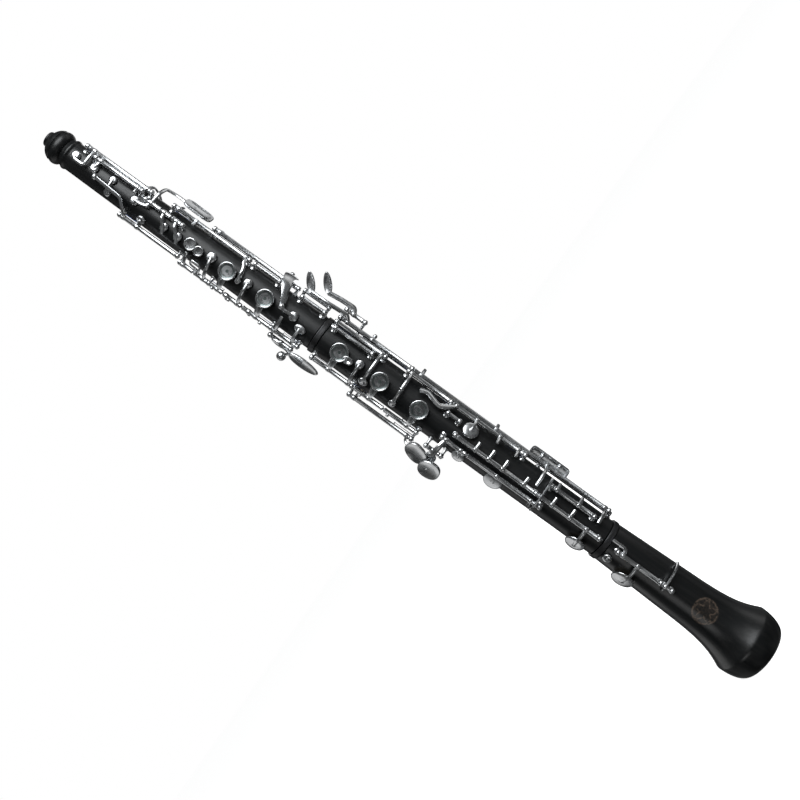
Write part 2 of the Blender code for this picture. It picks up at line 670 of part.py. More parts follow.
# ---------------------------------------------------------------- keys of the lower joint
def right_hand_keys():
    line = RIGHT_STACK
    key("f_sharp_key", line, span_between(TOP_POST, 329.7),
        arm(on(line, 349.0), over(349.0, -30, 5.2), cup_top(349.0, 0, OPEN_GAP)),
        cup(349.0, 0, 6.5, OPEN_GAP),
        cup(341.4, -4, 2.6, OPEN_GAP, 3.8),
        arm(on(line, 333.0), over(333.2, -30, 4.8), cup_top(333.4, 5, OPEN_GAP)),
        cup(333.4, 5, 3.2, OPEN_GAP))
    key("e_key", line, (328.2, 303.8),
        arm(on(line, 315.6), over(315.8, -30, 5.2), cup_top(316.0, 0, OPEN_GAP)),
        cup(316.0, 0, 6.5, OPEN_GAP))
    key("d_key", line, (303.2, 277.8),
        arm(on(line, 284.4), over(284.2, -30, 5.2), cup_top(284.0, 0, OPEN_GAP)),
        cup(284.0, 0, 6.6, OPEN_GAP))
    key("f_resonance_key", RESONANCE_LINE, span_between(TOP_POST, 322.6),
        arm(on(RESONANCE_LINE, 325.6), over(325.6, 20, 4.6), over(325.6, -12, 3.8),
            cup_top(325.4, -31)),
        cup(325.4, -31, 3.0, SHUT_GAP, 3.8))
    key("e_cross_key", LOW_D_LINE, span_between(304.2, 269.5),
        arm(on(LOW_D_LINE, 301.6), over(301.4, 15, 4.6), over(301.0, -10, 3.8),
            cup_top(301.0, -33)),
        cup(301.0, -33, 3.0),
        ball(place(over(301.4, 15, 4.6)), 0.0017))
    key("low_d_key", LOW_D_LINE, span_between(269.5, 208.5),
        arm(on(LOW_D_LINE, 248.0), cup_top(248.0, 33, OPEN_GAP)),
        cup(248.0, 33, 5.8, OPEN_GAP),
        arm(on(LOW_D_LINE, 264.6), over(270.0, 44, 4.2), over(274.6, 34, 4.0),
            over(281.0, 40, 4.2), over(286.0, 46, 4.4), over(291.0, 39, 4.2), radius=0.0014),
        arm(on(LOW_D_LINE, 214.0), over(214.0, 42, 4.6)),
        arm(on(LOW_D_LINE, 229.0), over(229.0, 42, 4.6)))


FRONT_LEFT = (0, -35, 1.0)


def little_finger_keys():
    line = E_FLAT_LINE
    key("e_flat_key", line, span_between(328.0, 276.5),
        arm(on(line, 280.6), over(279.0, -74, 12.4), over(271.0, -67, 14.0)),
        plate(place(over(270.6, -66, 14.4)), place(FRONT_LEFT), Vector((0.25, 0, 1)),
              0.0062, 0.0064),
        arm(on(line, 324.0), cup_top(323.0, -94)),
        cup(323.0, -94, 4.0))
    line = LOW_C_TOUCH_LINE
    key("low_c_touch", line, span_between(266.0, 253.5),
        arm(on(line, 260.0), over(259.4, -84, 9.0), over(257.4, -79, 16.6),
            over(257.0, -70, 18.6)),
        plate(place(over(257.0, -70, 18.8)), place(FRONT_LEFT), Vector((0.2, 0, 1)),
              0.0064, 0.0064))
    line = LOW_C_LINE
    key("c_sharp_key", line, (259.8, 241.6),
        arm(on(line, 257.6), over(259.0, -34, 8.6), over(259.6, -56, 11.6)),
        plate(place(over(259.4, -59, 12.2)), place(FRONT_LEFT), Vector((0, 0, 1)),
              0.0042, 0.0042),
        arm(on(line, 245.6), cup_top(244.7, -42, OPEN_GAP)),
        cup(244.7, -42, 4.8, OPEN_GAP))
    key("low_c_key", line, (241.0, 182.8),
        arm(on(line, 216.2), cup_top(216.2, -42, OPEN_GAP)),
        cup(216.2, -42, 7.0, OPEN_GAP),
        arm(on(line, 188.6), over(188.6, -34, 4.4)))
    line = LOW_B_LINE
    key("c_b_link_lever", line, span_between(254.7, 189.0),
        arm(on(line, 238.4), over(238.4, 20, 4.8)),
        arm(on(line, 227.5), over(227.5, 24, 4.8)),
        arm(on(line, 216.3), over(216.3, 24, 4.8)),
        arm(on(line, 199.0), over(199.0, 20, 4.8)))
    key("low_b_key", line, span_between(189.0, 137.5),
        arm(on(line, 148.0), over(148.0, -26, 5.0), cup_top(147.1, -52, OPEN_GAP)),
        cup(147.1, -52, 7.2, OPEN_GAP),
        arm(on(line, 161.4), over(161.4, 22, 4.8)),
        arm(on(line, 176.0), over(176.0, 20, 4.8)))
    key("b_flat_bridge_lever", BRIDGE_LINE, span_between(182.8, 148.2),
        arm(on(BRIDGE_LINE, 161.0), over(161.0, 58, 4.8)),
        arm(on(BRIDGE_LINE, 178.6), over(178.6, 54, 4.8)))


def left_lever_keys():
    line = LOW_B_FLAT_LINE
    e_flat_ear = over(388.0, 72, 9.6)
    key("left_e_flat_lever", line, span_between(TOP_POST, 303.5),
        arm(on(line, 357.0), over(360.0, 74, 10.0), over(376.0, 70, 10.0), e_flat_ear),
        ear(e_flat_ear, 0.0074, 0.0037))
    key("low_b_flat_link", line, span_between(303.5, 141.0),
        arm(on(line, 207.0), over(207.0, 82, 11.0), over(178.0, 82, 11.0),
            on(line, 178.0)),
        arm(on(line, 192.0), over(192.0, 45, 6.4), over(192.0, 16, 5.2)),
        arm(on(line, 144.2), over(144.2, 50, 6.0), over(144.2, 28, 5.2)),
        arm(on(line, 296.0), over(296.0, 96, 9.0)),
        arm(on(line, 234.0), over(234.0, 96, 7.6)))
    line = LEFT_LEVER_LINE
    b_flat_ear = over(379.0, 88, 14.0)
    key("left_b_flat_lever", line, span_between(TOP_POST, 347.5),
        arm(on(line, 357.0), over(359.0, 92, 15.6), over(370.0, 90, 15.6), b_flat_ear),
        ear(b_flat_ear, 0.0076, 0.0038))


# ---------------------------------------------------------------- bell key and thumb rest
def bell_keywork():
    hinge_rod("bell_rod", BELL_LINE, (122.5, 88.0))
    key("bell_b_flat_key", BELL_LINE, span_between(122.5, 88.0),
        arm(on(BELL_LINE, 106.6), over(106.6, -28, 4.8), cup_top(107.4, -51, OPEN_GAP)),
        cup(107.4, -51, 8.0, OPEN_GAP),
        arm(on(BELL_LINE, 118.6), over(119.6, 17, 5.0), over(130.0, 17, 5.0)))


def thumb_rest():
    """A curved plate screwed to the back of the lower joint, with a hook for the thumb."""
    z = at(300.0)
    seat = wood_radius(z) + GAP
    base = cylinder(place((z - 0.011, 180, seat + 0.0012)),
                    place((z + 0.011, 180, seat + 0.0012)), 0.0012, 8)
    shelf = plate(place((z, 180, seat + 0.0078)), Vector((0, 0.25, -1)), Vector((0, 1, 0)),
                  0.0070, 0.0075)
    stem = cylinder(place((z, 180, seat + 0.0008)), place((z, 180, seat + 0.0060)), 0.0026, 10)
    finish(combine(base, [stem, shelf], "UNION"), "thumb_rest", SILVER)


upper_joint()
lower_joint()
bell()
upper_rods()
lower_rods()
octave_and_trill_keys()
vent_keys()
left_hand_keys()
left_side_keys()
right_hand_keys()
little_finger_keys()
left_lever_keys()
bell_keywork()
thumb_rest()
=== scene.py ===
# %% [markdown]
# # An oboe, finished over its working frame
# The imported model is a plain, exact oboe whose keys already turn on their rods. This lesson
# dresses it: turned wood, round-headed posts, smooth tubes, domed cups with pads, dished
# finger plates and polished touches. Everything is placed from the frame, so a piece that
# is made here moves with the key that it belongs to.

# %% load the frame
import json
import math
from collections import namedtuple

import bmesh
import bpy
from mathutils import Matrix, Vector

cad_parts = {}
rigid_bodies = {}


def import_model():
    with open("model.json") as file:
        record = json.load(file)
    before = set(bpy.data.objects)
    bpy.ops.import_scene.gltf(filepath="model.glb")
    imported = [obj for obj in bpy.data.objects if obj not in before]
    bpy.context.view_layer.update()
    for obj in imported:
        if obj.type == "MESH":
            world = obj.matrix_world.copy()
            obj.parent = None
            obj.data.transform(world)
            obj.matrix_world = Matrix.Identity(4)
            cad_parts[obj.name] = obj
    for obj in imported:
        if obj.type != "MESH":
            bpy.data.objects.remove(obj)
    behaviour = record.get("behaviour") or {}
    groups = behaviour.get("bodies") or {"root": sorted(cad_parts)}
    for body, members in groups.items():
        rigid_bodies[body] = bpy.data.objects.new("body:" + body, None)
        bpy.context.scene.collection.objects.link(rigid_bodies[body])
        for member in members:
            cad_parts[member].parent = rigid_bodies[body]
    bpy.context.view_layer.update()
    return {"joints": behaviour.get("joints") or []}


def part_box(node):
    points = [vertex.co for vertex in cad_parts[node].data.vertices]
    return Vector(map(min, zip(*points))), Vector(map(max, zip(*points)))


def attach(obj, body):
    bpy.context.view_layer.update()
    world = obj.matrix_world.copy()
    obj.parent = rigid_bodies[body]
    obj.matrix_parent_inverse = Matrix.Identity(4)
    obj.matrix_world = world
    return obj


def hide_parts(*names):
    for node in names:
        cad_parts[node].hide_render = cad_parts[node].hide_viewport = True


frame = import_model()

# %% [markdown]
# ## Finding a place on the body
# A key maker marks a place by its height up the body, its angle round the wood and its
# height above the wood. Heights here are "stations": millimetres above the bell's rim on an
# oboe of standard lengths. Angles run from the front (-Y) towards +X.

# %% stations, angles and rises
MM = 0.001
STATIONS = (0.0, 133.0, 369.0, 595.0)
BELL_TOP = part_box("bell")[1].z
LOWER_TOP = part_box("lower_joint")[1].z
CROWN_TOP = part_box("upper_joint")[1].z
JOINT_TOPS = (0.0, BELL_TOP, LOWER_TOP, CROWN_TOP)
Lane = namedtuple("Lane", "phi rho")


def between(x, xs, ys):
    """Straight-line reading of ys over rising xs, held at the ends."""
    if x <= xs[0]:
        return ys[0]
    for low in range(len(xs) - 1):
        if x <= xs[low + 1]:
            share = (x - xs[low]) / (xs[low + 1] - xs[low])
            return ys[low] + share * (ys[low + 1] - ys[low])
    return ys[-1]


def at(station):
    """World height of a station."""
    return between(station, STATIONS, JOINT_TOPS)


print("joint tops at", [round(top, 4) for top in JOINT_TOPS])

# %% [markdown]
# The outside of the wood is a slow cone in each joint. The bell is a cone down to its
# waist, and then a hollow flare that ends in a crisp edge above the rim.

# %% outside of the wood
CROWN_LENGTH = 0.0225
UPPER_RADII = (0.0126, 0.0102)      # at the joint's foot and under the crown
LOWER_RADII = (0.0136, 0.0131)
BELL_TOP_RADIUS = 0.0142
BELL_WAIST_RADIUS, BELL_WAIST_HEIGHT = 0.0165, 0.060
BELL_EDGE_RADIUS, BELL_EDGE_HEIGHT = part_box("bell")[1].x, 0.017
BELL_FOOT_RADIUS, BELL_MOUTH_RADIUS = 0.0195, 0.0172


def bell_radius(z):
    if z >= BELL_WAIST_HEIGHT:
        return between(z, (BELL_WAIST_HEIGHT, BELL_TOP), (BELL_WAIST_RADIUS, BELL_TOP_RADIUS))
    share = (BELL_WAIST_HEIGHT - z) / (BELL_WAIST_HEIGHT - BELL_EDGE_HEIGHT)
    flare = 0.25 * share + 0.75 * share ** 3
    return BELL_WAIST_RADIUS + flare * (BELL_EDGE_RADIUS - BELL_WAIST_RADIUS)


def wood_radius(z):
    if z >= LOWER_TOP:
        return between(z, (LOWER_TOP, CROWN_TOP - CROWN_LENGTH), UPPER_RADII)
    if z >= BELL_TOP:
        return between(z, (BELL_TOP, LOWER_TOP), LOWER_RADII)
    return bell_radius(z)


def place(stop):
    """World point of a (height, angle, distance from the bore's axis) stop."""
    z, phi, rho = stop
    turn = math.radians(phi)
    return Vector((rho * math.sin(turn), -rho * math.cos(turn), z))


def over(station, phi, rise):
    """A stop that lies a rise, in millimetres, above the wood."""
    z = at(station)
    return (z, phi, wood_radius(z) + rise * MM)


def on(line, station):
    """A stop on a hinge line."""
    return (at(station), line.phi, line.rho)


print("wood is", round(2000 * wood_radius(at(500)), 1), "mm thick at station 500")

# %% [markdown]
# A hinge line is the middle of a rod. The frame's joints already say where each one is, so
# it is read from there and never typed again.

# %% hinge lines from the joints
def hinge_line(body):
    """The lane of the hinge that carries a body, and the body that holds its rod."""
    joint = next(joint for joint in frame["joints"] if joint["child"] == body)
    x, y, z = joint["pos_m"]
    return Lane(math.degrees(math.atan2(x, -y)), math.hypot(x, y)), joint["parent"]


print("a_key turns at", hinge_line("a_key_body"))

# %% [markdown]
# ## Shader arithmetic
# A pattern is easiest to read as a sum. `Reading` wraps a node's output so that plain
# Python operators add the Math nodes, and `Finish` holds one material while it is built.

# %% numbers that vary over a surface
class Reading:
    """A number that varies over a surface, with Python's arithmetic."""

    def __init__(self, tree, socket):
        self.tree = tree
        self.socket = socket

    def maths(self, operation, *terms):
        node = self.tree.nodes.new("ShaderNodeMath")
        node.operation = operation
        for entry, term in zip(node.inputs, terms):
            if isinstance(term, Reading):
                self.tree.links.new(term.socket, entry)
            else:
                entry.default_value = term
        return Reading(self.tree, node.outputs[0])

    def __add__(self, other):
        return self.maths("ADD", self, other)

    def __radd__(self, other):
        return self.maths("ADD", other, self)

    def __sub__(self, other):
        return self.maths("SUBTRACT", self, other)

    def __rsub__(self, other):
        return self.maths("SUBTRACT", other, self)

    def __mul__(self, other):
        return self.maths("MULTIPLY", self, other)

    def __rmul__(self, other):
        return self.maths("MULTIPLY", other, self)

    def __pow__(self, other):
        return self.maths("POWER", self, other)

    def sine(self):
        return self.maths("SINE", self)

    def most(self, other):
        return self.maths("MAXIMUM", self, other)

    def absolute(self):
        return self.maths("ABSOLUTE", self)

    def angle_over(self, across):
        return self.maths("ARCTAN2", self, across)


class Finish:
    """One material: constants go on the shader's own sockets, patterns are fed in."""

    def __init__(self, name, **constants):
        self.material = bpy.data.materials.new(name)
        self.material.use_nodes = True
        self.tree = self.material.node_tree
        self.shader = self.tree.nodes["Principled BSDF"]
        for socket, value in constants.items():
            self.shader.inputs[socket.replace("_", " ")].default_value = value

    def node(self, kind, settings=None, sockets=None, output=0):
        """Add any node: its settings first, then a value or a link for each named socket."""
        node = self.tree.nodes.new("ShaderNode" + kind)
        for setting, value in (settings or {}).items():
            setattr(node, setting, value)
        for entry, value in (sockets or {}).items():
            if isinstance(value, Reading):
                self.tree.links.new(value.socket, node.inputs[entry])
            else:
                node.inputs[entry].default_value = value
        return Reading(self.tree, node.outputs[output])

    def stretched(self, scale, centre=(0.0, 0.0, 0.0)):
        """Object coordinates, moved and stretched."""
        here = self.node("TexCoord", output="Object")
        return self.node("Mapping", {}, {0: here, "Location": centre, "Scale": scale})

    def noise(self, scale, detail=3.0, roughness=0.5):
        """Soft noise; scale is in waves per metre along x, y and z."""
        return self.node("TexNoise", {}, {"Vector": self.stretched(scale), "Scale": 1.0,
                                          "Detail": detail, "Roughness": roughness})

    def step(self, value, low, high):
        """0 below low, 1 above high, and smooth between."""
        return self.node("MapRange", {"interpolation_type": "SMOOTHSTEP"},
                         {"Value": value, "From Min": low, "From Max": high})

    def mix(self, share, first, second):
        """Blend two colours; a colour is three numbers or a link."""
        sockets = {"Factor": share}
        for entry, colour in ((6, first), (7, second)):
            sockets[entry] = colour if isinstance(colour, Reading) else (*colour, 1.0)
        return self.node("Mix", {"data_type": "RGBA"}, sockets, output=2)

    def feed(self, socket, value):
        self.tree.links.new(value.socket, self.shader.inputs[socket])

    def bump(self, height, depth, strength=1.0):
        """Raise the surface by height times depth, in metres."""
        relief = self.node("Bump", {}, {"Height": height, "Distance": depth,
                                        "Strength": strength})
        self.feed("Normal", relief)


print("shader helpers ready")

# %% [markdown]
# ## A rosette
# The bell carries a worn rosette. A maker would press or inlay it, but here it is a drawing on
# the wood: a wave that runs round a circle makes five petals, a ring frames them, and soft
# noise rubs parts away. It needs only each point's distance and angle from the middle.

# %% rosette
PETALS = 5
RING_AT = 0.91                      # everything is a share of the rosette's radius


def rosette_mask(wood, height, phi, size):
    """1 on a worn flower inside a ring, laid on the wood at a height and an angle."""
    turn = math.radians(phi)
    here = wood.stretched((1.0, 1.0, 1.0))
    x, y, z = [wood.node("SeparateXYZ", {}, {"Vector": here}, output=axis) for axis in "XYZ"]
    across = x * math.cos(turn) + y * math.sin(turn)
    outward = x * math.sin(turn) - y * math.cos(turn)
    rise = z - height
    radius = ((across * across + rise * rise) ** 0.5) * (1.0 / size)
    petals = 0.62 + 0.22 * (rise.angle_over(across) * PETALS).sine()
    line = 1.0 - wood.step((radius - petals).absolute(), 0.05, 0.15)
    ring = 1.0 - wood.step((radius - RING_AT).absolute(), 0.03, 0.10)
    field = 0.22 * (1.0 - wood.step(radius, 0.86, 0.94))
    worn = wood.step(wood.noise((700.0, 700.0, 700.0), 3.0), 0.30, 0.62)
    return line.most(ring).most(field) * worn * wood.step(outward, 0.0, 0.004)


print("the rosette has", PETALS, "petals")

# %% [markdown]
# ## Finishes
# Oboe wood is African blackwood: almost black, with hair-thin pores that run along the
# bore. It is turned, oiled and buffed to a satin, so the pores and a faint brown streak
# only show near a highlight. Noise that is stretched 30 to 50 times along z draws the grain.
# The bell is polished more than the joints, as no keys or hands dull its flare.

# %% black wood
def make_blackwood(name, matt, gloss, rosette=None):
    wood = Finish(name, IOR=1.46, Coat_Roughness=matt)
    streak = wood.step(wood.noise((420.0, 420.0, 9.0), 5.0, 0.62), 0.40, 0.72)
    pore = wood.step(wood.noise((2600.0, 2600.0, 90.0), 3.0, 0.6), 0.60, 0.74)
    cloud = wood.noise((38.0, 38.0, 16.0), 2.0)
    dark = wood.mix(streak, (0.0030, 0.0036, 0.0040), (0.0082, 0.0080, 0.0080))
    colour = wood.mix(pore * 0.7, dark, (0.0014, 0.0015, 0.0017))
    if rosette:
        colour = wood.mix(rosette_mask(wood, *rosette) * 0.85, colour, (0.11, 0.080, 0.060))
    wood.feed("Base Color", colour)
    wood.feed("Roughness", matt + 0.10 * cloud + 0.16 * pore + 0.05 * streak)
    wood.feed("Coat Weight", gloss - 0.8 * gloss * pore)
    wood.bump(streak * 0.25 - pore, 0.00004, 0.5)
    return wood


WOOD = make_blackwood("oiled_blackwood", 0.34, 0.06)
BELL_WOOD = make_blackwood("bell_blackwood", 0.27, 0.50, (0.0525, 9.0, 0.0092))
print("made", WOOD.material.name, "and", BELL_WOOD.material.name)

# %% [markdown]
# Keys are nickel silver with a bright silver plate. Fingers leave it cloudy in patches, and
# it warms a little where it starts to tarnish. Both are slow noise: one drives roughness,
# the other a faint yellow. Very fine hairlines come from buffing.

# %% silver plate, bright and worn
def make_silver(name, shine, bright, dull):
    silver = Finish(name, Metallic=1.0)
    smudge = silver.step(silver.noise((170.0, 170.0, 120.0), 4.0, 0.6), 0.38, 0.70)
    tarnish = silver.step(silver.noise((75.0, 75.0, 60.0), 3.0), 0.52, 0.78)
    hairline = silver.noise((5200.0, 5200.0, 700.0), 2.0)
    silver.feed("Base Color", silver.mix(tarnish * 0.55, bright, dull))
    silver.feed("Roughness", shine + 0.13 * smudge + 0.05 * tarnish + 0.03 * hairline)
    silver.bump(hairline, 0.000006, 0.35)
    return silver


SILVER = make_silver("bright_silver_plate", 0.20, (0.70, 0.71, 0.72), (0.52, 0.50, 0.47))
# The second copy is near black: its dark colour is painted shade for the socket rings, not a
# dulled plate.
SHADED_SILVER = make_silver("shade_darkened_silver_plate", 0.40, (0.07, 0.07, 0.072), (0.045, 0.042, 0.04))
print("made", SILVER.material.name, "and", SHADED_SILVER.material.name)

# %% [markdown]
# A finger plate is buffed on a turning wheel. Its colour is a dark, greenish copy of the silver,
# painted shade and reflection, and its middle is darker still: partly real finger wear, which
# also roughens it, and partly painted shade. Each plate's mesh carries an attribute, "radius",
# that says how far a point is from its middle in millimetres. Rings of that number are the
# fine turning lines.

# %% finger plates and cups
def make_plate_silver(name):
    silver = Finish(name, Metallic=1.0)
    radius = silver.node("Attribute", {"attribute_name": "radius"}, output="Fac")
    wobble = silver.noise((900.0, 900.0, 900.0), 2.0)
    ring = (radius * 26.0 + wobble * 3.0).sine() * 0.5 + 0.5
    # The middle mask is finger wear in roughness and painted shade in colour.
    finger_wear_and_shade = 1.0 - silver.step(radius + wobble * 1.5, 2.0, 6.0)
    cloud = silver.step(silver.noise((260.0, 260.0, 260.0), 4.0, 0.6), 0.35, 0.70)
    # Painted shade and reflection: both colours are darkened, greenish silver, the middle one
    # darker still.
    worn = silver.mix(finger_wear_and_shade * 0.8, (0.24, 0.27, 0.27), (0.11, 0.135, 0.13))
    silver.feed("Base Color", silver.mix(cloud * 0.35, worn, (0.20, 0.20, 0.19)))
    silver.feed("Roughness", 0.26 + 0.10 * cloud + 0.08 * finger_wear_and_shade + 0.03 * ring)
    silver.bump(ring, 0.000010, 0.4)
    return silver


PLATE = make_plate_silver("shade_darkened_finger_plate")
print("made", PLATE.material.name)

# %% [markdown]
# Hinge rods are turned from steel bar, so their marks run round them: bands of noise that
# change quickly along z. Needle springs are the same steel, blued by heat.

# %% steel
def make_steel(name, colour, rust):
    steel = Finish(name, Metallic=1.0)
    band = steel.noise((60.0, 60.0, 5200.0), 2.0)
    patch = steel.step(steel.noise((240.0, 240.0, 160.0), 3.0), 0.45, 0.75)
    steel.feed("Base Color", steel.mix(patch * 0.5, colour, rust))
    steel.feed("Roughness", 0.20 + 0.12 * band + 0.08 * patch)
    steel.bump(band, 0.000008, 0.5)
    return steel


STEEL = make_steel("turned_steel", (0.60, 0.61, 0.63), (0.46, 0.44, 0.41))
BLUED = make_steel("blued_spring_steel", (0.07, 0.10, 0.20), (0.14, 0.12, 0.13))
print("made", STEEL.material.name, "and", BLUED.material.name)

# %% [markdown]
# Tenons are lapped with cork, and pads are cork or thin skin over felt. Cork is a warm tan
# with small brown flecks, and it drinks grease, so some of it is darker.

# %% cork and pad skin
def make_cork(name, light, dark, fleck_share):
    cork = Finish(name)
    cell = cork.node("TexVoronoi", {}, {"Vector": cork.stretched((1500.0,) * 3), "Scale": 1.0})
    fleck = cork.step(cork.noise((1300.0,) * 3, 4.0, 0.7), 0.56, 0.66) * fleck_share
    grease = cork.step(cork.noise((90.0,) * 3, 2.0), 0.45, 0.75)
    colour = cork.mix(grease * 0.5 + cell * 0.2, light, dark)
    cork.feed("Base Color", cork.mix(fleck, colour, (0.10, 0.05, 0.025)))
    cork.feed("Roughness", 0.80 - 0.25 * grease)
    cork.bump(cell + fleck, 0.00005, 0.6)
    return cork


CORK = make_cork("greased_cork", (0.60, 0.42, 0.25), (0.42, 0.27, 0.15), 0.8)
SKIN = make_cork("pad_skin", (0.74, 0.66, 0.54), (0.62, 0.52, 0.40), 0.15)
print("made", CORK.material.name, "and", SKIN.material.name)

# %% [markdown]
# ## Shells
# Every piece is made from closed shells. Two kinds are enough for almost all keywork:
# `lathe` spins an outline, and `bar` extrudes a ring along a path. Both give a bmesh that
# is merged and turned right side out before anything else is done with it.

# %% spin an outline
MERGE = 0.0000015
ROUND = 20                          # sides of a small round piece


def tidy(bm):
    """Merge doubled points, then point every face outwards."""
    bmesh.ops.remove_doubles(bm, verts=bm.verts, dist=MERGE)
    bmesh.ops.recalc_face_normals(bm, faces=bm.faces)
    return bm


def lathe(outline, sides=ROUND, closed=False):
    """Spin (radius, height) points round z. A closed outline returns to its first point."""
    bm = bmesh.new()
    ring = [bm.verts.new((radius, 0.0, height)) for radius, height in outline]
    edges = [bm.edges.new(pair) for pair in zip(ring, ring[1:])]
    if closed:
        edges.append(bm.edges.new((ring[-1], ring[0])))
    bmesh.ops.spin(bm, geom=ring + edges, cent=(0, 0, 0), axis=(0, 0, 1),
                   angle=2 * math.pi, steps=sides, use_merge=True)
    return tidy(bm)


def arc(centre, radii, start, end, steps):
    """Points of an elliptical arc between two angles in degrees, for an outline."""
    points = []
    for step in range(steps + 1):
        angle = math.radians(start + (end - start) * step / steps)
        points.append((centre[0] + radii[0] * math.cos(angle),
                       centre[1] + radii[1] * math.sin(angle)))
    return points


print("a lathed ball has", len(lathe(arc((0, 0), (1, 1), 90, -90, 10)).faces), "faces")

# %% [markdown]
# A local frame puts a shell in its place. `standing` points its z away from the bore, for
# posts and cups, and `along_bore` keeps z up the bore, for tubes and rods.

# %% local frames
def standing(stop):
    """Frame at a stop: z leaves the wood, y runs up the bore."""
    turn = Matrix.Rotation(math.radians(stop[1]), 4, "Z")
    stand = Matrix.Rotation(math.radians(90), 4, "X")
    return Matrix.Translation(place(stop)) @ turn @ stand


def along_bore(stop):
    """Frame at a stop with z up the bore."""
    return Matrix.Translation(place(stop)) @ Matrix.Rotation(math.radians(stop[1]), 4, "Z")


def moved(bm, matrix):
    bm.transform(matrix)
    return bm


print("cups stand along", tuple(round(n, 2) for n in standing(over(441, 0, 1)).col[2][:3]))

# %% [markdown]
# A key arm is filed from flat stock: wide and low, and thinner towards the cup. `bar`
# walks a ring of points along the route with extrude, and the route's corners are first
# eased by averaging neighbours, as a bent arm has no sharp corners.

# %% a bar that follows a route
STEP = 0.0009                       # spacing of rings along a bar
EASING = 4                          # rounds of averaging at the corners
ARM_SIDES = 10


def route_points(stops):
    """World points every STEP along the stops, going round the wood and not through it."""
    points = [place(stops[0])]
    for here, there in zip(stops, stops[1:]):
        reach = (place(here) - place(there)).length
        count = max(2, round(reach / STEP), math.ceil(abs(there[1] - here[1]) / 6.0))
        for step in range(1, count + 1):
            share = step / count
            points.append(place([a + share * (b - a) for a, b in zip(here, there)]))
    for _ in range(EASING):
        inner = [(before + 2 * here + after) / 4
                 for before, here, after in zip(points, points[1:], points[2:])]
        points = [points[0]] + inner + [points[-1]]
    return points


def bar(stops, width, height, end_share=0.8):
    """A rounded bar along stops; width and height are half sizes in millimetres."""
    points = route_points(stops)
    heading = (points[1] - points[0]).normalized()
    up = Vector((points[0].x, points[0].y, 0.0))
    if abs(up.normalized().dot(heading)) > 0.9:
        up = Vector((0.0, 0.0, 1.0))
    side = heading.cross(up).normalized()
    frames = []
    for index, point in enumerate(points):
        ahead = points[min(index + 1, len(points) - 1)]
        behind = points[max(index - 1, 0)]
        heading = (ahead - behind).normalized()
        side = (side - heading * side.dot(heading)).normalized()
        up = side.cross(heading)
        share = 1.0 - (1.0 - end_share) * index / (len(points) - 1)
        axes = Matrix((side * width * MM * share, up * height * MM * share, heading * MM))
        frames.append(Matrix.Translation(point) @ axes.transposed().to_4x4())
    blunt = Matrix.Diagonal((0.6, 0.6, 1.0, 1.0))
    for tip, back in ((0, -0.35 * height), (-1, 0.35 * height)):
        nose = frames[tip] @ Matrix.Translation((0, 0, back * end_share)) @ blunt
        if tip == 0:
            frames.insert(0, nose)
        else:
            frames.append(nose)
    return sweep(frames)


def sweep(frames):
    """Extrude a unit circle through a list of frames and close both ends."""
    bm = bmesh.new()
    first = bmesh.ops.create_circle(bm, cap_ends=True, segments=ARM_SIDES, radius=1.0)
    bmesh.ops.transform(bm, matrix=frames[0], verts=first["verts"])
    ring = list(bm.edges)
    for before, after in zip(frames, frames[1:]):
        grown = bmesh.ops.extrude_edge_only(bm, edges=ring)["geom"]
        verts = {item for item in grown if isinstance(item, bmesh.types.BMVert)}
        ring = [item for item in grown if isinstance(item, bmesh.types.BMEdge)
                and item.verts[0] in verts and item.verts[1] in verts]
        bmesh.ops.transform(bm, matrix=after @ before.inverted(), verts=list(verts))
    bmesh.ops.contextual_create(bm, geom=ring)
    bmesh.ops.recalc_face_normals(bm, faces=bm.faces)
    return bm


print("bars are ready")

# %% [markdown]
# ## From shells to a piece
# Shells of one finish join one mesh. The mesh is shaded smooth except at real edges, rides
# on its body, and may stand for a plain CAD node.

# %% finish a piece
SHARP = math.radians(38)
made = []


def piece(name, shells, finish, slot, body, *nodes):
    """Join shells into one named object that rides on a body and replaces its nodes."""
    joined = bmesh.new()
    radius = joined.verts.layers.float.new("radius")
    for shell in shells:
        carried = bpy.data.meshes.new("shell")
        shell.to_mesh(carried)
        joined.from_mesh(carried)
        bpy.data.meshes.remove(carried)
        shell.free()
    mesh = bpy.data.meshes.new(name)
    joined.to_mesh(mesh)
    joined.free()
    mesh.materials.append(finish.material)
    mesh.shade_smooth()
    mesh.set_sharp_from_angle(angle=SHARP)
    thing = bpy.data.objects.new(name, mesh)
    bpy.context.scene.collection.objects.link(thing)
    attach(thing, body)
    if nodes:
        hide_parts(*nodes)
    made.append(name)
    return thing


print("ready to make pieces")

# %% [markdown]
# ## The wood
# Each joint is spun from its outline: down the outside, in under the tenon, and back up
# the bore. The outline is cut into short lengths, so that drilling it stays clean.

# %% drilling helper
WOOD_SIDES = 96
LONGEST_STRETCH = 0.004
BORE_TOP_RADIUS, BORE_FOOT_RADIUS = 0.0024, 0.0074
REED_WELL_RADIUS, REED_WELL_DEPTH = 0.0035, 0.018
HOLE_SHARE = 0.42                   # tone hole radius as a share of its cup's radius
HOLE_SIDES, BED_SIDES = 20, 40
DRILL_START, DRILL_STOP = 0.003, 0.0003     # above the wood, and just short of the bore's axis
BED_DEPTH, BED_MARGIN = 0.00035, 0.0007
WIDEST_BED = 0.55                   # a bed's radius as a share of the wood's
GAP = 0.0003


def bore_radius(z):
    return between(z, (BELL_TOP, CROWN_TOP - REED_WELL_DEPTH),
                   (BORE_FOOT_RADIUS, BORE_TOP_RADIUS))


def divided(outline):
    """Add points so that no stretch of a closed outline is longer than LONGEST_STRETCH."""
    points = []
    for here, there in zip(outline, outline[1:] + outline[:1]):
        here, there = Vector(here), Vector(there)
        count = max(1, math.ceil((there - here).length / LONGEST_STRETCH))
        points += [tuple(here.lerp(there, step / count)) for step in range(count)]
    return points


